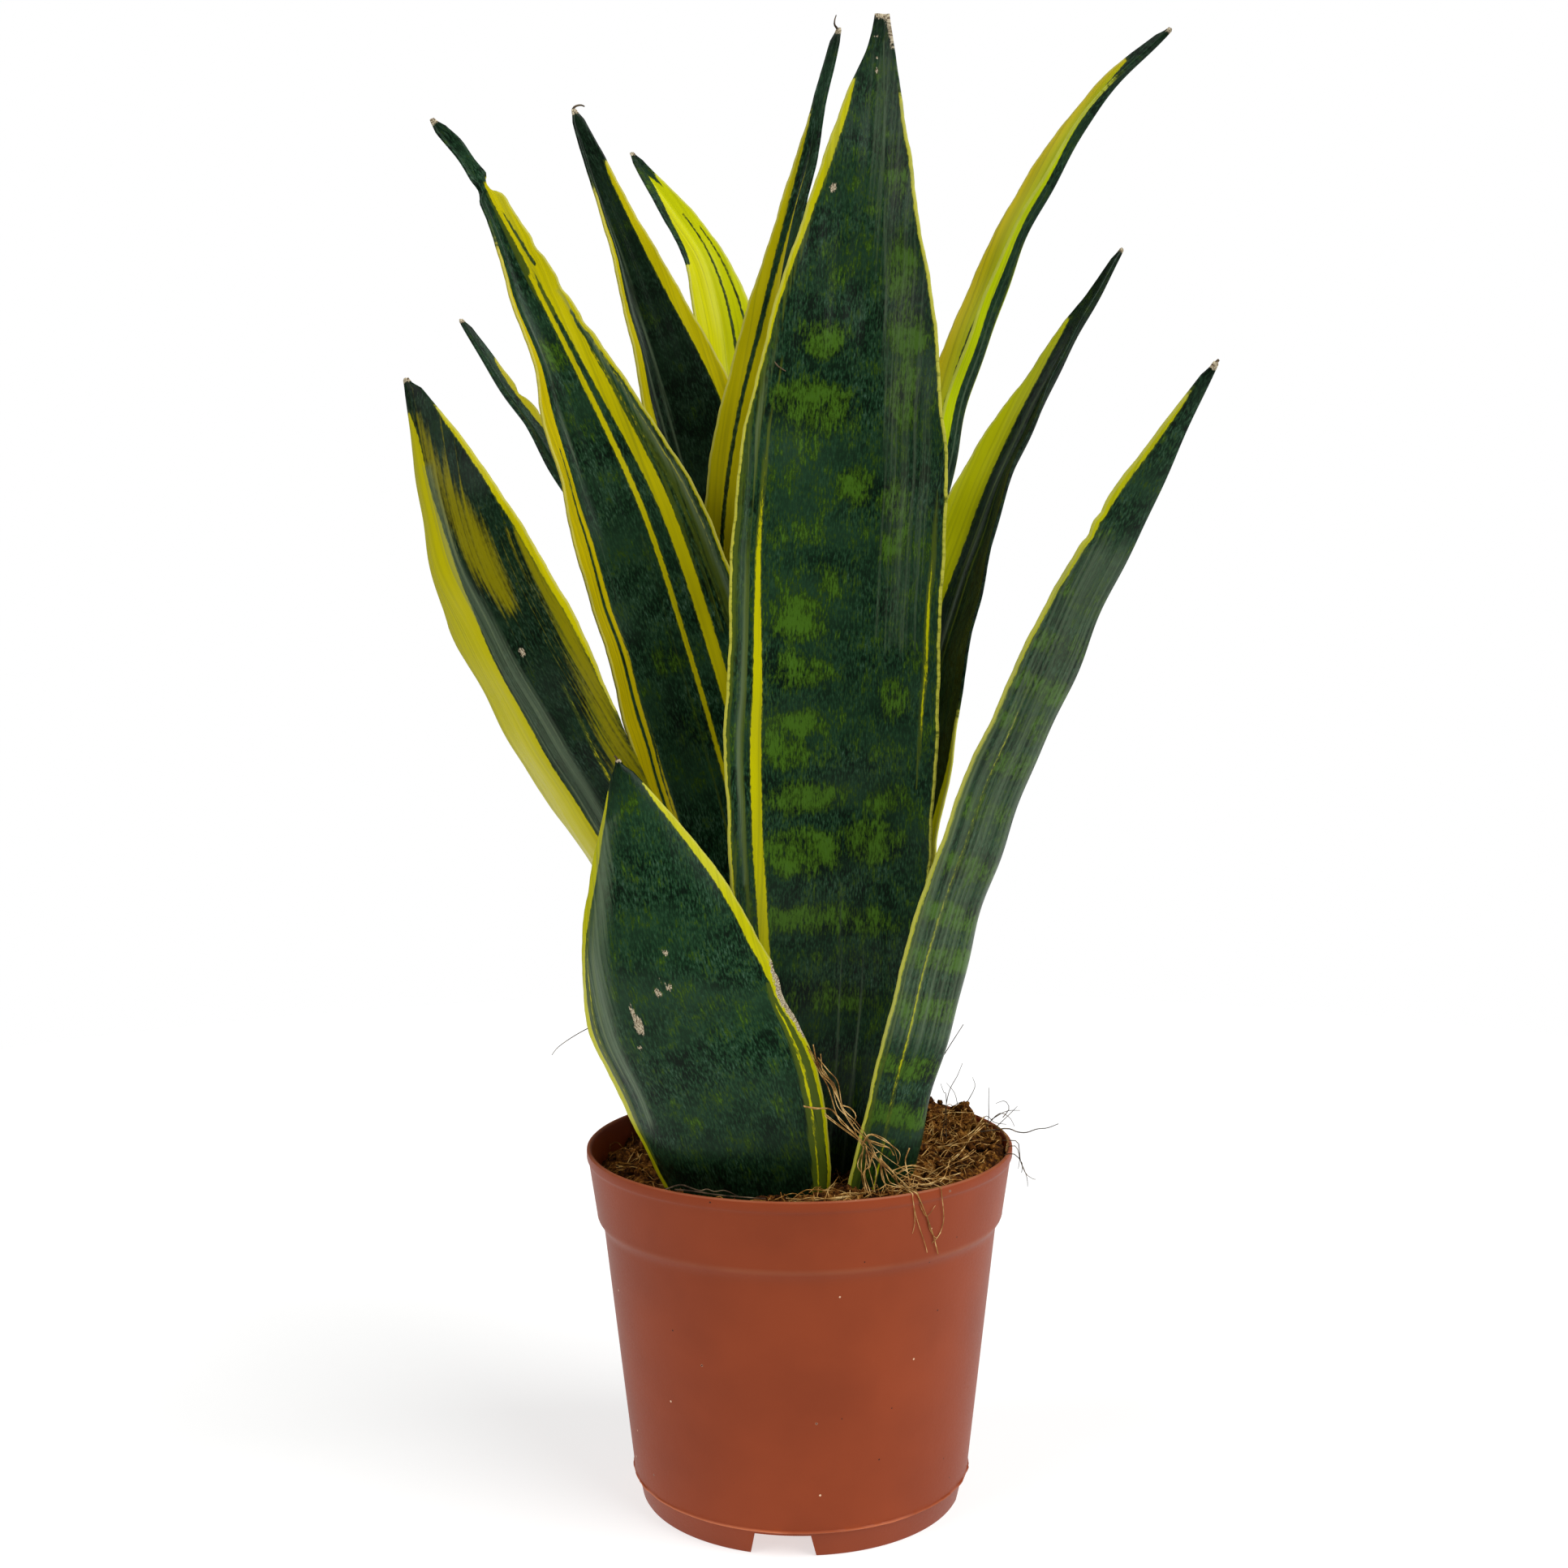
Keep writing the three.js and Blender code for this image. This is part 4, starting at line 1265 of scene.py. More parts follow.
            Stripe(Tone.GREEN, (0.7, 0.9), (0.7, 0.76, 0.8), (0.3, 0.7, 0.3)),
            Stripe(Tone.GREEN, (0.2, 0.7), (-0.2, -0.15, -0.1), (0.6, 1.0, 0.3)),
        ),
        mottle=0.3,
        dark_tip=8.0,
    ),
    Leaf(
        node="leaf_right_tall",
        spine=(
            (24, 32, 80), (31.5, 38, 190), (46, 40, 292), (65, 36, 352), (86.5, 30, 392),
            (106.5, 22, 412.5),
        ),
        half=(12, 16, 17, 16, 13.5, 9, 1.2),
        facing=(-60, -75, -80),
        fold=(30, 38, 40),
        curl=(20, 10, 6),
        crease=0.0,
        margins=(
            (12, 16, 17, 17, 17, 16.5, 16, 14.5, 11.5, 4.0, 0.0),
            (6, 6, 6, 6, 5.5, 5.5, 5.0, 4.0, 3.0, 0.4, 0.0),
        ),
        slot="leaf_yellow",
        # The warm yellow beyond u = -0.66 is painted shade: there the far half's inner face is turned from
        # the light
        lime=(0.15, 1.0),
        lime_at=-0.66,
        stripes=(
            Stripe(Tone.PALE, (0.3, 0.86), (0.4, 0.42, 0.45, 0.5), (0.4, 0.9, 0.9, 0.3)),
            Stripe(Tone.OLIVE, (0.3, 0.8), (0.24, 0.22, 0.24), (0.4, 0.9, 0.3)),
            Stripe(Tone.GREEN, (0.4, 0.84), (-0.5, -0.5, -0.44), (0.4, 0.7, 0.2)),
        ),
        mottle=0.2,
        dark_tip=12.0,
    ),
    Leaf(
        node="leaf_right_middle",
        spine=((27, 12, 80), (28.5, 12, 160), (39, 14, 225), (60.5, 22, 288), (96.5, 40, 355)),
        half=(10, 14.5, 18.5, 20, 14.5, 8, 1),
        facing=(-20, -40, -70),
        fold=(25, 30, 36),
        curl=(20, 12, 6),
        crease=0.0,
        margins=(
            (8, 10, 12, 12.5, 13.5, 13.5, 12.5, 9.0, 5.0, 1.4, 0.0),
            (2.5, 3.0, 3.0, 3.0, 2.4, -0.3, -1.0, -1.0, -1.0, -1.0, -1.0),
        ),
        lime=(0.75, 0.6),
        stripes=(
            Stripe(Tone.PALE, (0.4, 0.88), (0.02, 0.0, -0.06, -0.14, -0.24), (0.3, 0.8, 0.9, 0.9, 0.3)),
            Stripe(Tone.OLIVE, (0.4, 0.84), (-0.02, -0.05, -0.1, -0.2), (0.2, 0.5, 0.5, 0.2)),
            Stripe(Tone.OLIVE, (0.4, 0.8), (0.16, 0.14, 0.12), (0.3, 0.7, 0.3)),
        ),
        scars=(Blotch(0.5, 0.4, 0.4, 0.4), Blotch(0.9, 0.1, 0.9, 0.5)),
        mottle=0.3,
        # Painted shade over the whole blade, which stands in the clump's shade
        depth=0.55,
        dark_tip=24.0,
    ),
)


@dataclass
class Blade:
    """Builds one leaf as a closed blade that bends along its spine, and marks its surface."""

    leaf: Leaf
    material: bpy.types.Material
    seed: int
    column: float = 0.8  # mm between columns of the mesh
    row: float = 1.15  # mm between rows
    rim_cuts: int = 3
    base_thickness: float = 4.4  # mm
    tip_thickness: float = 1.3
    margin_thickness: float = 0.9
    fold_width: float = 0.15  # how far across the fold spreads, as a part of the half-width
    section_steps: int = 16
    spine_steps: int = 400
    spine_nudge: float = 1e-3  # how far ahead and back the spine's direction is read
    # A pointed tip: over how many mm it narrows, to what part of the width and how roundly
    point: Point = (3.5, 0.12, 0.6)
    # Towards the tip the margin wavers and the blade buckles less: over how many mm, to what part
    margin_calm: Pair = (30.0, 0.15)
    buckle_calm: Pair = (40.0, 0.1)
    buckle_rise: float = 6.0  # how fast the buckling sets in: in full a sixth of the way up
    bite_fade: int = 2  # how fast a bite out of both margins dies away from the edge
    waver_fade: int = 5  # how fast the rest does
    # The yellow tapers off ahead of the dark tip, and thins from some mm before it
    gold_taper: float = 0.35
    gold_thinning: Pair = (0.9, 9.0)  # mm, and from how many mm
    haze_edge: Pair = (1.5, 5.0)  # mm outside a haze where it starts, and to full
    # The painted shade at each leaf's foot: where it fades and over how many mm
    foot_shade_fade: Pair = (14.0, 30.0)  # mm up where the dark foot fades, and over how many
    tip_dark: Pair = (0.6, 14.0)  # strength of the dark at the tip, and its length in mm
    lime_turn: float = 1.6  # how fast the yellow turns from one side's lime to the other's
    # What keeps each leaf's pattern its own, and the same through its thickness, in mm
    lay_step: float = 13.0
    lay_depth: float = 0.15
    # (height in mm, wavelength across, wavelength along): slow buckling, then flutes over the veins
    waves: Points = (
        (0.35, 90.0, 46.0), (0.22, -60.0, 27.0), (0.1, 21.0, 70.0), (0.06, 7.5, 190.0),
        (0.045, 4.3, -160.0),
    )
    # (depth in mm, wavelength along) of the margin's own waver
    ragged: Pairs = ((0.2, 37.0), (0.09, 15.0), (0.05, 6.5), (0.03, 3.1))

    def __post_init__(self) -> None:
        """Measure the spine once, so that it can be read by length."""
        fine = np.linspace(0, 1, self.spine_steps + 1)
        route = catmull(self.leaf.spine, fine)
        steps = np.linalg.norm(np.diff(route, axis=0), axis=1)
        self.reach = np.concatenate([[0.0], np.cumsum(steps)])
        self.length = float(self.reach[-1])
        self.fine = fine
        self.phases = np.random.default_rng(self.seed).uniform(0, math.tau, (3, 8))

    def frame_at(self, s: np.ndarray) -> tuple[np.ndarray, np.ndarray, np.ndarray]:
        """Read the spine.

        Args:
            s: Parts of the length.

        Returns:
            The points of the middle line, the inner face's direction and the direction across.
        """
        q = np.interp(s * self.length, self.reach, self.fine)
        middle = catmull(self.leaf.spine, q)
        ahead = catmull(self.leaf.spine, np.minimum(q + self.spine_nudge, 1.0))
        tangent = ahead - catmull(self.leaf.spine, np.maximum(q - self.spine_nudge, 0.0))
        tangent /= np.linalg.norm(tangent, axis=1)[:, None]
        azimuth = np.radians(catmull(self.leaf.facing, s))
        inner = np.stack([np.sin(azimuth), -np.cos(azimuth), 0 * azimuth], 1)
        inner -= (inner * tangent).sum(1)[:, None] * tangent
        inner /= np.linalg.norm(inner, axis=1)[:, None]
        return middle, inner, np.cross(tangent, inner)

    def half_width(self, s: np.ndarray) -> np.ndarray:
        """Half-width in mm, drawn to a point over the last few mm unless the tip is blunt.

        Args:
            s: Parts of the length.

        Returns:
            One half-width for each.
        """
        half = catmull(self.leaf.half, s)
        if self.leaf.blunt:
            return half
        run, least, roundness = self.point
        return half * np.clip((1 - s) * self.length / run, least, 1.0) ** roundness

    def margin_shift(self, u: np.ndarray, s: np.ndarray) -> np.ndarray:
        """How far the margin stands out (+) or is bitten in (-), in mm, growing towards the edge.

        Args:
            u: Place across.
            s: Place along.

        Returns:
            One shift for each place.
        """
        along = s * self.length
        side = np.where(u < 0, 0, 1)
        shift = np.zeros_like(s)
        for k, (depth, wavelength) in enumerate(self.ragged):
            shift += depth * np.sin(math.tau * along / wavelength + self.phases[side, k])
        calm, least = self.margin_calm
        shift *= np.clip((1 - s) * self.length / calm, least, 1)
        for nick in self.leaf.nicks:
            bite = nick.depth * np.exp(-(((s - nick.s) * self.length / nick.length) ** 2))
            shift -= np.where((nick.side == 0) | (np.sign(u) == nick.side), bite, 0.0)
        waisted = any(nick.side == 0 for nick in self.leaf.nicks)
        return shift * np.abs(u) ** (self.bite_fade if waisted else self.waver_fade)

    def place(self, u: np.ndarray, s: np.ndarray, t: np.ndarray) -> np.ndarray:
        """Bend points of the flat slab into the blade.

        Args:
            u: Place across, -1 to 1.
            s: Place along, 0 at the root and 1 at the tip.
            t: Place through the thickness, 1 on the inner face and -1 on the outer.

        Returns:
            Points in mm.
        """
        leaf = self.leaf
        middle, inner, across = self.frame_at(s)
        half = self.half_width(s) + self.margin_shift(u, s)
        fold, curl = np.radians(catmull(leaf.fold, s)), np.radians(catmull(leaf.curl, s))
        part = (np.arange(self.section_steps) + 0.5) / self.section_steps
        inside = u[:, None] * part
        turn = fold[:, None] * np.tanh((inside - leaf.crease) / self.fold_width) + curl[:, None] * inside
        x, y = half * u * np.cos(turn).mean(1), half * u * np.sin(turn).mean(1)

        edge = fold * np.tanh((u - leaf.crease) / self.fold_width) + curl * u
        thick = self.base_thickness + (self.tip_thickness - self.base_thickness) * s
        thick = thick + (self.margin_thickness - thick) * u**2
        rise = t * thick / 2
        calm, least = self.buckle_calm
        buckling = np.clip(s * self.buckle_rise, 0, 1) * np.clip((1 - s) * self.length / calm, least, 1)
        for k, (height, wide, long) in enumerate(self.waves):
            wave = np.sin(math.tau * (u * half / wide + s * self.length / long) + self.phases[2, k])
            rise = rise + height * wave * buckling
        round_off = np.sqrt(np.clip(1 - t**2, 0, 1)) * thick / 2
        out = np.where(np.abs(u) > 0.999, np.sign(u) * round_off, 0.0)
        x += out * np.cos(edge) - rise * np.sin(edge)
        y += out * np.sin(edge) + rise * np.cos(edge)
        ahead = np.cross(inner, across)
        tip = np.where(s > 0.9999, round_off, 0.0)
        return middle + across * x[:, None] + inner * y[:, None] + ahead * tip[:, None]

    def marks(self, u: np.ndarray, s: np.ndarray, t: np.ndarray) -> dict[str, np.ndarray]:
        """Work out the surface attributes.

        Args:
            u: Place across.
            s: Place along.
            t: Place through the thickness.

        Returns:
            For each name, distances in mm inside the marking (negative outside), or strengths.
        """
        leaf, half = self.leaf, np.maximum(catmull(self.leaf.half, s), 0.4)
        along, across = s * self.length, u * half
        to_low, to_high = (1 + u) * half, (1 - u) * half
        low, high = (catmull(values, s) for values in leaf.margins)
        fields: dict[str, np.ndarray] = {
            "gold": np.maximum(low - to_low, high - to_high),
            "olive": np.full_like(s, -9.0),
            "pale": np.full_like(s, -9.0),
            "dry": leaf.dry_tip - (self.length - along),
            "haze": np.full_like(s, -1.0),
            "bloom": np.full_like(s, leaf.mottle),
        }
        for stripe in leaf.stripes:
            start, end = stripe.ends
            q = (s - start) / (end - start)
            centre = catmull(stripe.across, q) * half
            inside = catmull(stripe.width, q) / 2 - np.abs(across - centre)
            inside = np.minimum(inside, np.minimum(s - start, end - s) * self.length)
            inside = np.minimum(inside / stripe.soft, stripe.peak)
            match stripe.tone:
                case Tone.GREEN:
                    fields["gold"] = np.minimum(fields["gold"], -inside)
                    fields["olive"] = np.minimum(fields["olive"], -inside)
                case Tone.HAZE:
                    outside, to_full = self.haze_edge
                    soft = np.clip((inside + outside) / to_full, 0, 1)
                    fields["haze"] = np.maximum(fields["haze"], soft)
                case _:
                    name = stripe.tone.value
                    fields[name] = np.maximum(fields[name], inside)
        # The yellow ends before the dark tip and thins out towards it
        left = self.length - along - leaf.dark_tip
        loss, run = self.gold_thinning
        fields["gold"] = np.minimum(fields["gold"], self.gold_taper * left)
        fields["gold"] -= loss * np.clip(1 - left / run, 0, 1) ** 1.5
        for blotch in leaf.blotches:
            off = ((s - blotch.s) * self.length / blotch.long) ** 2
            off += ((u - blotch.u) * half / blotch.wide) ** 2
            fields["bloom"] = np.maximum(fields["bloom"], blotch.strength * np.exp(-(off**2) / 1.5))
        for scar in leaf.scars:
            off = ((s - scar.s) * self.length / scar.long) ** 2 + ((u - scar.u) * half / scar.wide) ** 2
            fields["dry"] = np.maximum(fields["dry"], (1 - np.sqrt(off)) * min(scar.long, scar.wide) * 1.5)
        fields["rim"] = np.where(np.abs(t) < 0.999, 0.0, np.minimum(to_low, to_high))
        # Painted shade in black: at the foot of each leaf, where the leaves shade each other near the soil,
        # and over the whole of a blade that stands in the clump's shade; the tip is darker as well
        full, run = self.foot_shade_fade
        deep = leaf.foot_shade * np.clip(1 - (along - full) / run, 0, 1) ** 1.5
        strength, run = self.tip_dark
        deep = np.maximum(deep, strength * np.clip(1 - (self.length - along) / run, 0, 1))
        fields["deep"] = np.maximum(deep, leaf.depth)
        turned = np.clip(0.5 + self.lime_turn * (u - leaf.lime_at), 0, 1)
        fields["lime"] = leaf.lime[0] + (leaf.lime[1] - leaf.lime[0]) * turned
        layer = self.lay_step * self.seed + self.lay_depth * t
        fields["lay"] = np.stack([across, along, layer], 1)
        return fields

    def slab(self) -> bmesh.types.BMesh:
        """A flat closed slab: across on X from -1 to 1, along on Y and through on Z, the same.

        Returns:
            The slab.
        """
        columns = int(2 * max(self.leaf.half) / self.column)
        rows = int(self.length / self.row)
        bm = bmesh.new()
        bmesh.ops.create_grid(bm, x_segments=columns, y_segments=rows, size=1.0)
        bmesh.ops.solidify(bm, geom=bm.faces[:], thickness=2.0)
        low, high = min(v.co.z for v in bm.verts), max(v.co.z for v in bm.verts)
        bmesh.ops.translate(bm, verts=bm.verts, vec=(0, 0, -(low + high) / 2))
        through = [e for e in bm.edges if abs(e.verts[0].co.z - e.verts[1].co.z) > 1]
        bmesh.ops.subdivide_edges(bm, edges=through, cuts=self.rim_cuts)
        bmesh.ops.recalc_face_normals(bm, faces=bm.faces)
        return bm

    def build(self) -> None:
        """Bend the slab, mark it and finish the leaf."""
        bm = self.slab()
        name = self.leaf.node.replace("leaf_", "blade_")
        mesh = bpy.data.meshes.new(name)
        bm.to_mesh(mesh)
        bm.free()
        flat = np.empty(3 * len(mesh.vertices))
        mesh.vertices.foreach_get("co", flat)
        u, along, t = flat.reshape(-1, 3).T
        s, t = (along + 1) / 2, np.clip(t, -1, 1)
        mesh.vertices.foreach_set("co", (self.place(u, s, t) * MM).ravel())
        for mark, values in self.marks(u, s, t).items():
            vector = values.ndim == 2
            layer = mesh.attributes.new(mark, "FLOAT_VECTOR" if vector else "FLOAT", "POINT")
            layer.data.foreach_set("vector" if vector else "value", values.ravel())
        mesh.shade_smooth()
        mesh.update()
        finish_piece(in_scene(name, mesh), self.material, [self.leaf.node])


# -----------------------------------------------------------------------------------------------------
# Soil


@dataclass
class Soil:
    """The plug of coir compost, its crumbs and the fibres that lie on it."""

    material: bpy.types.Material
    fibre: bpy.types.Material
    blades: Sequence[Blade]
    height: float = 96.0  # mm, over the pot's axis
    rise: float = 0.06  # mm for each mm to the right
    crumb: float = 1.1  # mm, the height of the swells
    rings: int = 84
    steps: int = 300
    # The pith's relief: height in mm, and how many swells lie in a mm
    pith: Pairs = ((1.5, 0.22), (1.1, 0.55), (0.75, 1.25), (0.35, 2.6))
    # The heap at the back right and the ragged clump on it: x, y, height, spread
    mounds: tuple[tuple[float, float, float, float], ...] = ((37.0, 32.0, 3.0, 8.0), (50.0, 26.0, 4.2, 2.2))
    floor: float = 9.3
    # Height and radius of the room inside the pot, and the gap that the soil leaves to it
    room: Pairs = (
        (9.0, 46.5), (76.6, 54.15), (81.2, 56.1), (97.4, 58.1), (99.5, 58.7),
    )
    gap: float = 0.3
    side_heights: Values = (10.8, 40.0, 76.6, 81.4, 90.0)  # of the plug's corners
    lip_height: float = 97.4  # where the wall opens into the lip, which the soil doesn't follow
    slump: Pair = (1.2, 3.0)  # mm by which the soil sinks at the wall, and over how many
    lumps: int = 1500
    clump_lumps: int = 26  # how many of them make the clump
    clump_reach: float = 2.6
    clump_sizes: Pair = (0.5, 1.3)  # mm, radii
    lump_sizes: Pair = (0.35, 1.5)  # mm, the least radius and how much more the largest has
    lump_sink: Pair = (-0.3, 0.5)  # how deep or high a lump lies, in parts of its radius
    squash: Pair = (0.6, 1.25)
    ruffle: float = 0.32  # mm, how ragged a lump is
    ruffle_scale: float = 1.4  # how many ruffles lie in a mm
    loose_fibres: int = 520
    fibre_lengths: Pair = (6.0, 24.0)
    fibre_radii: Pair = (0.08, 0.19)
    fibre_curls: Pair = (0.15, 0.75)  # radians for each step
    fibre_arch: float = 2.6  # mm, the most by which the middle may stand up
    leaf_room: float = 1.6  # mm between a fibre's line and a leaf's
    heap_start: float = 5.0  # to the right of this every fibre stays, to the left only this share
    thin_share: float = 0.45
    fibre_step: float = 2.2  # mm from one point of a fibre to the next
    strewn: float = 57.0  # mm, the radius over which lumps and fibres fall
    lump_limit: float = 57.4
    fibre_limit: float = 57.6
    seed: int = 7

    def __post_init__(self) -> None:
        """Note where the leaves stand, so that crumbs and fibres keep off them."""
        self.chance = random.Random(self.seed)
        feet = []
        for blade in self.blades:
            u, s = np.meshgrid(np.linspace(-1, 1, 33), np.linspace(0, 40 / blade.length, 12))
            feet.append(blade.place(u.ravel(), s.ravel(), np.zeros(u.size)))
        self.feet = np.vstack(feet)

    def inner_radius(self, z: float) -> float:
        """Radius of the soil at a height, in mm."""
        heights, radii = zip(*self.room)
        return float(np.interp(z, heights, radii)) - self.gap

    def level(self, x: float, y: float) -> float:
        """Height of the soil at a place, before its pith: the same swells as on the solid.

        Args:
            x: To the right, in mm.
            y: To the back, in mm.

        Returns:
            The height in mm.
        """
        coarse = math.sin(0.31 * x + 1.3) * math.sin(0.37 * y + 0.4)
        fine = math.sin(0.73 * x) * math.sin(0.67 * y + 2)
        z = self.height + self.rise * x + self.crumb * (coarse + 0.6 * fine)
        for at_x, at_y, high, spread in self.mounds:
            z += high * math.exp(-((x - at_x) ** 2 + (y - at_y) ** 2) / (2 * spread**2))
        return z

    def relief(self, x: float, y: float) -> float:
        """Height of the soil with its pith, in mm."""
        at = Vector((x, y, 0.0))
        return self.level(x, y) + sum(high * noise.noise(at * fine) for high, fine in self.pith)

    def clear(self, x: float, y: float, z: float, room: float) -> bool:
        """Whether a place stays some mm away from every leaf."""
        gap = self.feet - (x, y, z)
        return float((gap * gap).sum(1).min()) > room * room

    def plug(self) -> None:
        """Spin the plug's section and crumble its top."""
        edge = self.inner_radius(self.height)
        top = [(edge * (1 - i / self.rings), self.height) for i in range(self.rings + 1)]
        side = [(0.0, self.floor), (self.inner_radius(self.floor) - 1, self.floor)]
        side += [(self.inner_radius(z), z) for z in self.side_heights]
        bm = spun(side + top, self.steps)
        depth, width = self.slump
        for vert in bm.verts:
            if vert.co.z < self.height - 0.5:
                continue
            radius = vert.co.xy.length
            z = self.relief(vert.co.x, vert.co.y)
            z -= depth * max(0.0, (radius - edge + width) / width) ** 2
            # The last rings widen or narrow with the wall at their new height
            room = self.inner_radius(min(z, self.lip_height))
            vert.co.xy *= 1 + (radius / edge) ** 8 * (room / edge - 1)
            vert.co.z = z
        finish_piece(mesh_object("soil_plug", bm), self.material, ["soil"])

    def anywhere(self) -> Pair:
        """Pick a place on the soil, each as likely as the next."""
        turn, reach = self.chance.uniform(0, math.tau), self.strewn * math.sqrt(self.chance.random())
        return reach * math.cos(turn), reach * math.sin(turn)

    def crumbs(self) -> None:
        """Scatter lumps of pith over the top, with a heap of them in the clump at the back."""
        bm = bmesh.new()
        chance = self.chance
        clump_x, clump_y, *_ = self.mounds[-1]
        placed = 0
        while placed < self.lumps:
            if placed < self.clump_lumps:
                turn, reach = chance.uniform(0, math.tau), self.clump_reach * chance.random()
                x, y = clump_x + reach * math.cos(turn), clump_y + reach * math.sin(turn)
                size = chance.uniform(*self.clump_sizes)
            else:
                x, y = self.anywhere()
                size = self.lump_sizes[0] + self.lump_sizes[1] * chance.random() ** 3
            if math.hypot(x, y) > self.lump_limit - size:
                continue
            z = self.relief(x, y) + size * chance.uniform(*self.lump_sink)
            if not self.clear(x, y, z, size + 1.0):
                continue
            turn = Euler([chance.uniform(0, math.tau) for _ in range(3)]).to_matrix().to_4x4()
            stretch = Matrix.Diagonal([chance.uniform(*self.squash) for _ in range(3)] + [1.0])
            bmesh.ops.create_icosphere(
                bm,
                subdivisions=1,
                radius=size,
                matrix=Matrix.Translation((x, y, z)) @ turn @ stretch,
            )
            placed += 1
        # Without a seed of its own the vector noise takes one from the clock
        noise.seed_set(self.seed)
        for vert in bm.verts:
            vert.co += self.ruffle * noise.noise_vector(vert.co * self.ruffle_scale)
        finish_piece(mesh_object("soil_crumbs", bm), self.material)

    def wander(self, x: float, y: float, length: float, curl: float, lift: float) -> Points:
        """Route a loose fibre over the soil.

        Args:
            x: Where it starts.
            y: Where it starts.
            length: How long it is, in mm.
            curl: How sharply it may turn, in radians for each step.
            lift: How high its middle arches, in mm.

        Returns:
            Points in mm, fewer where it meets a leaf or the pot.
        """
        chance = self.chance
        heading, bias = chance.uniform(0, math.tau), chance.uniform(-curl, curl)
        count = max(4, int(length / self.fibre_step))
        points: list[Point] = []
        for i in range(count):
            arch = math.sin(math.pi * i / (count - 1)) * lift
            z = self.relief(x, y) + 0.25 + arch + chance.uniform(0, 0.5)
            if math.hypot(x, y) > self.fibre_limit or not self.clear(x, y, z, self.leaf_room):
                break
            points.append((x, y, z))
            heading += bias + chance.uniform(-curl, curl)
            x += self.fibre_step * math.cos(heading)
            y += self.fibre_step * math.sin(heading)
        return tuple(points)

    def fibres(self) -> None:
        """Lay curly husk fibres over the top, most of them where the soil is heaped at the right."""
        strands = Strands("soil_fibres", "root_fibre", self.fibre, step=0.9)
        chance = self.chance
        while len(strands.strands) < self.loose_fibres:
            x, y = self.anywhere()
            if chance.random() > (1.0 if x > self.heap_start else self.thin_share):
                continue
            curl, length = chance.uniform(*self.fibre_curls), chance.uniform(*self.fibre_lengths)
            route = self.wander(x, y, length, curl, self.fibre_arch * chance.random() ** 2)
            if len(route) >= 4:
                strands.strands.append(Strand(route, chance.uniform(*self.fibre_radii)))
        strands.build()


# -----------------------------------------------------------------------------------------------------
# Roots, hairs and dried tips


@dataclass(frozen=True)
class Route:
    """A way that several strands take, how many they are, and how far they stray and how thick, in mm."""

    points: Points
    count: int
    stray: float
    radius: float = 0.14


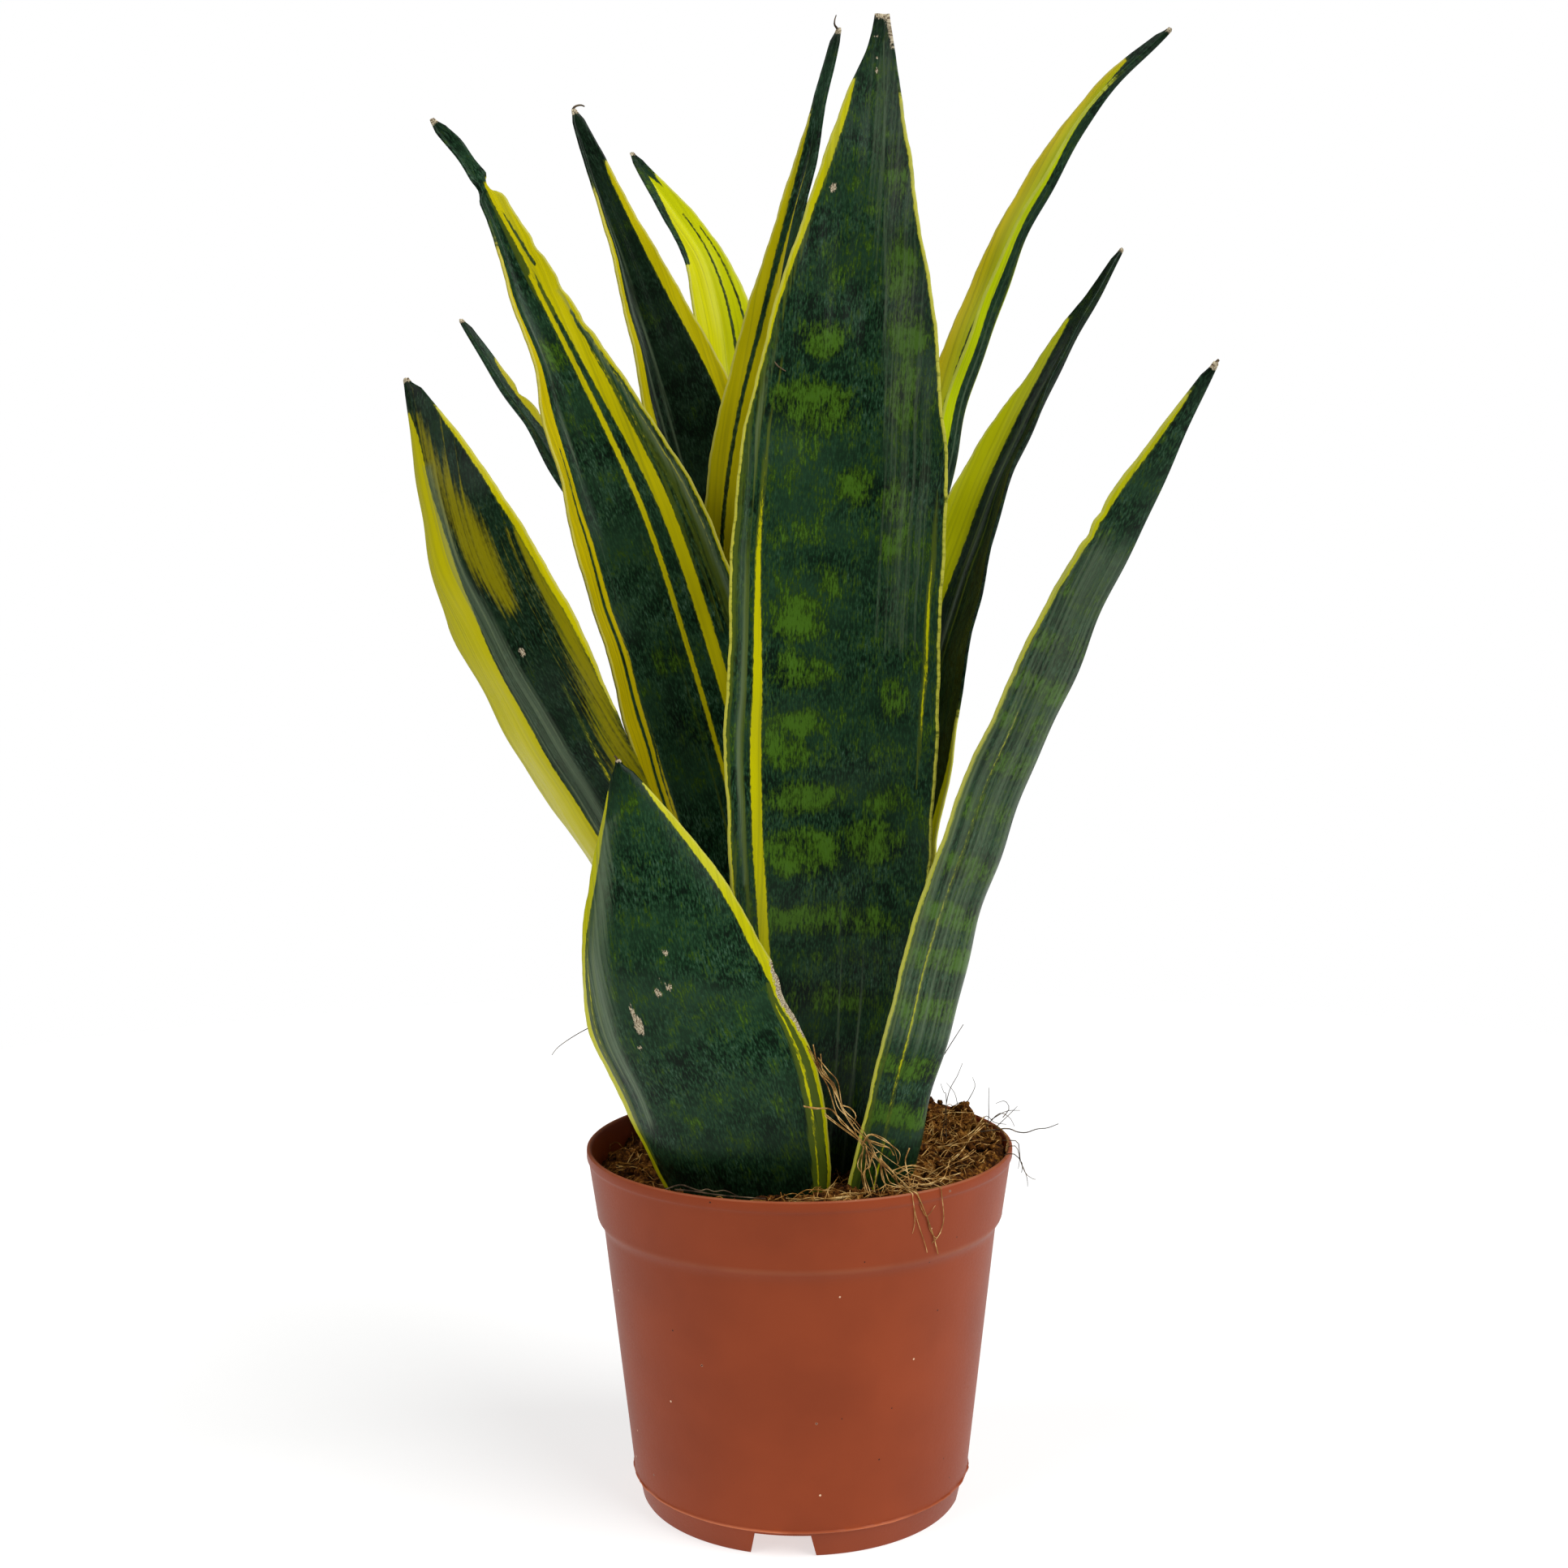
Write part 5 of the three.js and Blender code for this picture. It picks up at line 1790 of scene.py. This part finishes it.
@dataclass
class LooseRoots:
    """The bundle of pale roots that climbs out beside the front leaves, and hairs round the rim."""

    pot: Pot
    root: bpy.types.Material
    hair: bpy.types.Material
    seed: int = 23
    hair_gain: float = 1.5  # drawn this much thicker than real, so that they show
    shift_share: float = 0.6  # the part of a route's stray by which a whole strand may shift
    bend_share: float = 0.8  # and by which each of its points may
    radii: Pair = (0.7, 1.25)  # the least and the most of a route's radius
    tips: Pair = (0.35, 0.7)  # and of the part of it left at the free end
    hang_gap: float = 0.1  # mm between a hanging strand and the pot
    lip_height: float = 99.9  # the highest at which the pot's radius is read
    # Over the lip a strand runs inwards: from this height, by how many mm at once and for each mm more
    inwards_height: float = 100.2
    inwards: Pair = (2.2, 3.0)
    bundle: tuple[Route, ...] = (
        Route(
            (
                (2, -48, 137), (5, -49, 132), (7.5, -50, 127.5), (10, -50, 121), (13, -50, 117),
                (16.5, -50, 112.5), (20.5, -51, 108.5), (27.5, -52, 103),
            ),
            count=3,
            stray=1.3,
        ),
        Route(
            (
                (4.5, -49, 135), (6.5, -50, 131), (9, -50, 128), (10.5, -50, 122.5),
                (13.5, -50, 117.5), (16.5, -50, 113), (19, -50.5, 109),
            ),
            count=3,
            stray=1.1,
        ),
        Route(
            (
                (1, -52, 123), (4, -52, 122.5), (7.5, -51.5, 122), (10, -51, 120), (13.5, -50, 115.5),
                (17, -50, 112),
            ),
            count=2,
            stray=0.35,
            radius=0.2,
        ),
        Route(
            ((6, -51, 120.5), (9.5, -51, 118), (12.5, -50.5, 115.5), (16.5, -50, 112)),
            count=2,
            stray=0.5,
        ),
        Route(((11, -50, 122.5), (13, -51, 122), (14, -51, 120), (13.5, -50, 117.5)), count=1, stray=0.3),
        Route(
            (
                (16, -50, 112.5), (18, -51, 114.5), (20.5, -51, 114), (23.5, -50.5, 112),
                (25, -50, 109.5), (25, -49, 107),
            ),
            count=2,
            stray=0.6,
        ),
        Route(((17, -50, 113), (20, -51, 112.5), (22.5, -50.5, 111), (24, -50, 109)), count=2, stray=0.5),
        Route(
            ((17.5, -53, 107), (18, -53, 109), (18.5, -53, 110.5), (20, -52.5, 111)),
            count=1,
            stray=0.1,
            radius=0.22,
        ),
        Route(
            ((16.5, -50, 112), (16.5, -51.5, 108), (16, -52, 105), (16.5, -52, 101), (18, -52.5, 99.5)),
            count=2,
            stray=1.0,
        ),
        Route(
            ((16, -50, 111.5), (15, -51.5, 107.5), (15.5, -52, 104), (16.5, -52, 100)),
            count=2,
            stray=0.9,
        ),
        Route(((17.5, -50, 110.5), (18.5, -51.5, 106), (18.5, -52, 100.5)), count=2, stray=1.0),
        Route(
            (
                (20, -50.5, 108.5), (22, -51.5, 103.5), (23.5, -52, 101.5), (27.5, -51, 100.5),
                (30.5, -50, 102),
            ),
            count=3,
            stray=1.1,
        ),
        Route(
            ((28, -49, 111), (27, -50, 108), (27.5, -51, 105), (28, -52.5, 101.5)),
            count=1,
            stray=0.1,
            radius=0.2,
        ),
        Route(((27, -51, 103), (33, -47, 101), (38, -43, 100.5), (42, -38, 100.5)), count=4, stray=1.2),
        Route(((24, -49, 104), (28, -45.5, 105.5), (32, -43, 104), (35, -41, 101)), count=3, stray=1.0),
        Route(
            ((51.5, -8, 106.5), (47.5, -16, 105), (43.5, -26, 104), (40.5, -32, 103)),
            count=2,
            stray=0.5,
        ),
        Route(
            ((47.5, -24, 103.5), (43.5, -30, 103), (39, -36, 102.5), (35, -42, 101.5)),
            count=2,
            stray=0.6,
        ),
        Route(((52.5, 6, 103), (56.5, 2, 102.6), (58.2, -8, 102), (56.5, -20, 101.4)), count=2, stray=0.4),
        Route(((53.1, 8, 104.4), (49.6, 4, 101.6), (44.9, -3, 100.8), (41, -8, 100.5)), count=1, stray=0.2),
        Route(((37, 14, 101.5), (43.2, 16, 103.6), (51.5, 18, 103.2)), count=1, stray=0.2),
        Route(((38, -14, 101), (45, -13, 102.2), (51, -10, 102.4)), count=2, stray=0.5),
        Route(
            ((18, -49, 99), (14, -49.5, 99), (8, -51.5, 98.6), (2, -52.5, 98.8), (-3, -53, 98.6)),
            count=4,
            stray=0.9,
        ),
    )
    # Strands that hang over the rim: the way to it in mm, then (degrees from the front, height) on the pot
    draped: tuple[tuple[Points, Pairs, float], ...] = (
        (
            ((20.5, -50.5, 108.5), (24, -50, 104.5)),
            (
                (27.6, 101.4), (28.8, 100.5), (29.4, 100.15), (30.1, 98.9), (32.4, 94.7), (35.6, 88.2),
                (38.4, 81.6),
            ),
            0.24,
        ),
        (
            ((17.5, -50, 110.5), (23.5, -50, 104)),
            (
                (27.4, 101.5), (28.0, 100.5), (28.4, 100.15), (28.5, 98.4), (30.0, 93.6), (33.7, 85.2),
                (34.6, 82.8),
            ),
            0.14,
        ),
        (
            ((29, -44, 102.5),),
            (
                (36.6, 101.1), (36.9, 100.5), (37.1, 100.15), (37.3, 98.3), (39.2, 91.0), (38.1, 86.9),
                (35.9, 85.1),
            ),
            0.15,
        ),
        (
            ((25, -50, 103.5),),
            ((29.0, 101.0), (29.6, 100.5), (30.0, 100.15), (31.0, 96.4), (33.4, 93.0), (35.8, 95.5)),
            0.12,
        ),
        ((), ((33.4, 93.0), (34.8, 89.1), (37.2, 86.3), (38.7, 87.5)), 0.12),
        ((), ((29.2, 96.0), (29.8, 92.0), (29.4, 89.0)), 0.1),
    )
    hairs: tuple[tuple[Points, float], ...] = (
        (((32, -20, 99), (35, -20, 121), (39.8, -20, 129.4), (44.7, -20, 137.2)), 0.13),
        (((54, 9, 99), (54.8, 10, 104), (54.8, 10, 108.1), (54.9, 10, 112.4)), 0.1),
        (((40.5, 0, 100), (42.2, 0, 112.6), (44.9, 0, 118.4), (46.3, 0, 121.9)), 0.09),
        (((41.7, 0, 100), (41.7, 0, 112.1), (41, 0, 113.6), (40.1, 0, 116.1)), 0.09),
        (
            (
                (-47, -28, 142), (-52, -30, 140.4), (-56, -30, 139), (-60.4, -30, 136.6),
                (-64.4, -30, 133.8), (-66.2, -30, 131.6),
            ),
            0.11,
        ),
        (
            (
                (52, 6, 100.5), (59.7, 8, 100.9), (62.8, 8, 99.9), (65.5, 8, 99.7), (68.5, 8, 100.7),
                (71.5, 8, 101), (74.7, 8, 102.2),
            ),
            0.14,
        ),
        (
            (
                (57, -6, 101.2), (61.2, -5, 100.6), (61.9, -5, 97.4), (62.3, -5, 94.6),
                (63.7, -5, 91.4), (65.6, -5, 89.9), (66.5, -5, 89.7),
            ),
            0.1,
        ),
        (((62.3, -5, 94.6), (63.7, -5, 91.4), (64.2, -5, 89), (64.2, -5, 87.6)), 0.09),
        (((54, 10, 101), (57.1, 10, 104.3), (59, 10, 104.8), (61.1, 10, 103.3), (62.3, 10, 100.9)), 0.1),
        (((51, 9, 101), (54.1, 10, 104.1), (56.4, 10, 102.2), (59.9, 10, 101.6)), 0.1),
        (
            (
                (-36, -46, 99.2), (-31.3, -50, 101.9), (-28.4, -50.5, 101.2), (-25.9, -51, 100.6),
                (-24.2, -51.3, 101.1), (-22.2, -51.6, 100.5), (-19.5, -52, 100.9), (-15.6, -53, 99.4),
            ),
            0.15,
        ),
        (
            (
                (-32.5, -48.5, 100.2), (-31.2, -50.4, 100.7), (-27, -52.6, 100.9), (-21, -55.2, 100.7),
                (-13, -57.3, 100.6), (-9, -57.6, 100.4),
            ),
            0.17,
        ),
        (((60, 20, 101), (62, 21, 103.5), (61, 24, 105), (58.5, 25, 104)), 0.09),
        (((56, -20, 101), (58.5, -21, 101.4), (60.6, -21.5, 99), (60.4, -22, 96.5)), 0.11),
        (((57.5, -12, 101), (60, -12.5, 101.2), (61, -12.6, 98), (60.6, -13, 95)), 0.1),
        (((50, 26, 104), (52.5, 27, 108.5), (51.8, 27, 111.5)), 0.08),
        (((47, 22, 104), (46, 22, 108), (43.6, 22, 111)), 0.08),
        (((56, 14, 102), (60.5, 15, 104.2), (64.5, 15, 104.4)), 0.09),
        (((57, 8, 101.6), (61.5, 9, 105.6), (63, 9, 107.2)), 0.08),
    )

    def on_pot(self, degrees: float, z: float, lift: float) -> Point:
        """A point some mm off the pot's outside, by degrees to the right of the front.

        Args:
            degrees: How far round the pot.
            z: Height in mm.
            lift: How far off it, in mm.

        Returns:
            The point.
        """
        reach = self.pot.outer_radius(min(z, self.lip_height)) + lift
        if z > self.inwards_height:
            start, slope = self.inwards
            reach -= start + slope * (z - self.inwards_height)
        turn = math.radians(degrees)
        return reach * math.sin(turn), -reach * math.cos(turn), z

    def build(self) -> None:
        """Make the roots, which stand for the solid ones, and the finer hairs."""
        chance = random.Random(self.seed)
        roots = Strands("root_bundle", "root_fibre", self.root, step=0.9)
        for route in self.bundle:
            for _ in range(route.count):
                shift = [self.shift_share * chance.uniform(-route.stray, route.stray) for _ in range(3)]
                bend = self.bend_share
                bent = tuple(
                    tuple(c + s + chance.uniform(-bend, bend) * route.stray for c, s in zip(point, shift))
                    for point in route.points
                )
                radius = route.radius * chance.uniform(*self.radii)
                roots.strands.append(Strand(bent, radius, chance.uniform(*self.tips)))
        for lead, line, radius in self.draped:
            hung = tuple(self.on_pot(degrees, z, radius + self.hang_gap) for degrees, z in line)
            roots.strands.append(Strand(lead + hung, radius))
        hairs = Strands("loose_hairs", "root_fibre", self.hair, step=1.1)
        for points, radius in self.hairs:
            hairs.strands.append(Strand(points, radius * self.hair_gain))
        roots.build(["roots"])
        hairs.build()


@dataclass
class DriedTips:
    """The withered threads and curls at the ends of some leaves."""

    material: bpy.types.Material
    threads: tuple[Strand, ...] = (
        Strand(
            ((12.9, 15, 410.2), (12.4, 15, 411.4), (11.7, 15, 412.4), (11.8, 15, 413.8), (12.2, 15, 415.0)),
            radius=0.42,
            tip=0.35,
        ),
        Strand(
            (
                (-64.3, 46, 397), (-64.7, 46, 398.1), (-63.7, 46, 398.9), (-62.3, 46, 399.1),
                (-61.3, 46, 398.7),
            ),
            radius=0.42,
        ),
        Strand(((-46.5, -42, 210.6), (-46.8, -42.3, 211.9), (-47.4, -42.4, 212.4)), radius=0.35),
        Strand(((97.6, -79.8, 305.2), (98.2, -80.1, 306.4), (98.7, -80.2, 306.9)), radius=0.5, tip=0.6),
        Strand(
            ((-7.4, -32.9, 318.2), (-6.3, -33.2, 314.9), (-4.7, -33.4, 312.4), (-2.6, -33.2, 311.0)),
            radius=0.3,
            tip=0.4,
        ),
    )

    def build(self) -> None:
        """Make them all as one piece."""
        Strands("dried_tips", "root_fibre", self.material, 0.5, list(self.threads)).build()


# -----------------------------------------------------------------------------------------------------
# Studio


@dataclass
class Studio:
    """Pale floor, two wide soft banks of light at the sides and the camera in front."""

    floor_radius: float = 0.75
    floor_facets: int = 96
    room_light: float = 0.14
    bank_width: float = 50.0  # degrees
    # Name, degrees to the right of the front, degrees up, strength
    banks: tuple[tuple[str, float, float, float], ...] = (
        ("left_bank", -64.0, 40.0, 1.45),
        ("right_bank", 60.0, 44.0, 2.95),
    )
    lens: float = 44.48
    sensor: float = 36.0
    sight: float = 40.0
    camera_at: Point = (-0.0037, -0.540, 0.245)
    pitch: float = -4.61  # degrees
    roll: float = -0.36

    def floor(self) -> None:
        """Lay the floor."""
        bm = bmesh.new()
        radius = self.floor_radius / MM
        bmesh.ops.create_circle(bm, cap_ends=True, segments=self.floor_facets, radius=radius)
        ground = mesh_object("studio_floor", bm)
        ground.data.materials.append(FloorPaint().build())

    def lights(self) -> None:
        """Light the plant from both sides, in a room that is white to look at but dim."""
        world = bpy.data.worlds.new("white_room")
        world.use_nodes = True
        tree = world.node_tree
        tree.nodes.clear()
        seen = add(tree, "Background", {"Strength": 1.0}).outputs[0]
        lit = add(tree, "Background", {"Strength": self.room_light}).outputs[0]
        for ground in tree.nodes:
            ground.inputs["Color"].default_value = (1.0, 1.0, 1.0, 1.0)
        direct = add(tree, "LightPath").outputs["Is Camera Ray"]
        shown = add(tree, "MixShader", {0: direct, 1: lit, 2: seen}).outputs[0]
        add(tree, "OutputWorld", {"Surface": shown})
        bpy.context.scene.world = world
        for name, azimuth, elevation, strength in self.banks:
            data = bpy.data.lights.new(name, "SUN")
            data.energy, data.angle = strength, math.radians(self.bank_width)
            lamp = in_scene(name, data)
            turn, rise = math.radians(azimuth), math.radians(elevation)
            from_there = Vector(
                (math.sin(turn) * math.cos(rise), -math.cos(turn) * math.cos(rise), math.sin(rise))
            )
            lamp.rotation_euler = (-from_there).to_track_quat("-Z", "Y").to_euler()
            lamp.location = 2 * from_there

    def camera(self) -> None:
        """Stand the camera where the plant was seen from."""
        data = bpy.data.cameras.new("view")
        data.lens, data.sensor_width, data.clip_end = self.lens, self.sensor, self.sight
        viewer = in_scene("view", data)
        level = Matrix.Rotation(math.radians(90 + self.pitch), 4, "X")
        tilt = Matrix.Rotation(math.radians(self.roll), 4, "Z")
        viewer.matrix_world = Matrix.Translation(self.camera_at) @ level @ tilt
        bpy.context.scene.camera = viewer

    def build(self) -> None:
        """Set the whole studio up."""
        self.floor()
        self.lights()
        self.camera()
        bpy.context.scene.view_settings.view_transform = "Standard"


def main() -> None:
    """Build the plant, then the studio round it."""
    logging.basicConfig(level=logging.INFO, format="%(name)s: %(message)s")
    tissues = {
        "leaf_dark": LeafTissue().build(),
        "leaf_yellow": LeafTissue("waxy_yellow_leaf", warm_gold="#e2c800", lime_gold="#bfd000").build(),
    }
    plastic = PotPlastic().build()
    compost, straw = CoirSoil().build(), PlantFibre().build()
    root = PlantFibre("dried_root", light="#dbb97c", mid="#a67e45", dark="#603e1c").build()
    hair = PlantFibre("fine_hair", light="#70604a", mid="#4c3d2d", dark="#261b12").build()

    pot = Pot(plastic)
    pot.build()
    blades = [Blade(leaf, tissues[leaf.slot], seed) for seed, leaf in enumerate(LEAVES, start=1)]
    for blade in blades:
        blade.build()
    soil = Soil(compost, straw, blades)
    soil.plug()
    soil.crumbs()
    soil.fibres()
    LooseRoots(pot, root, hair).build()
    DriedTips(hair).build()
    Studio().build()


if __name__ == "__main__":
    main()
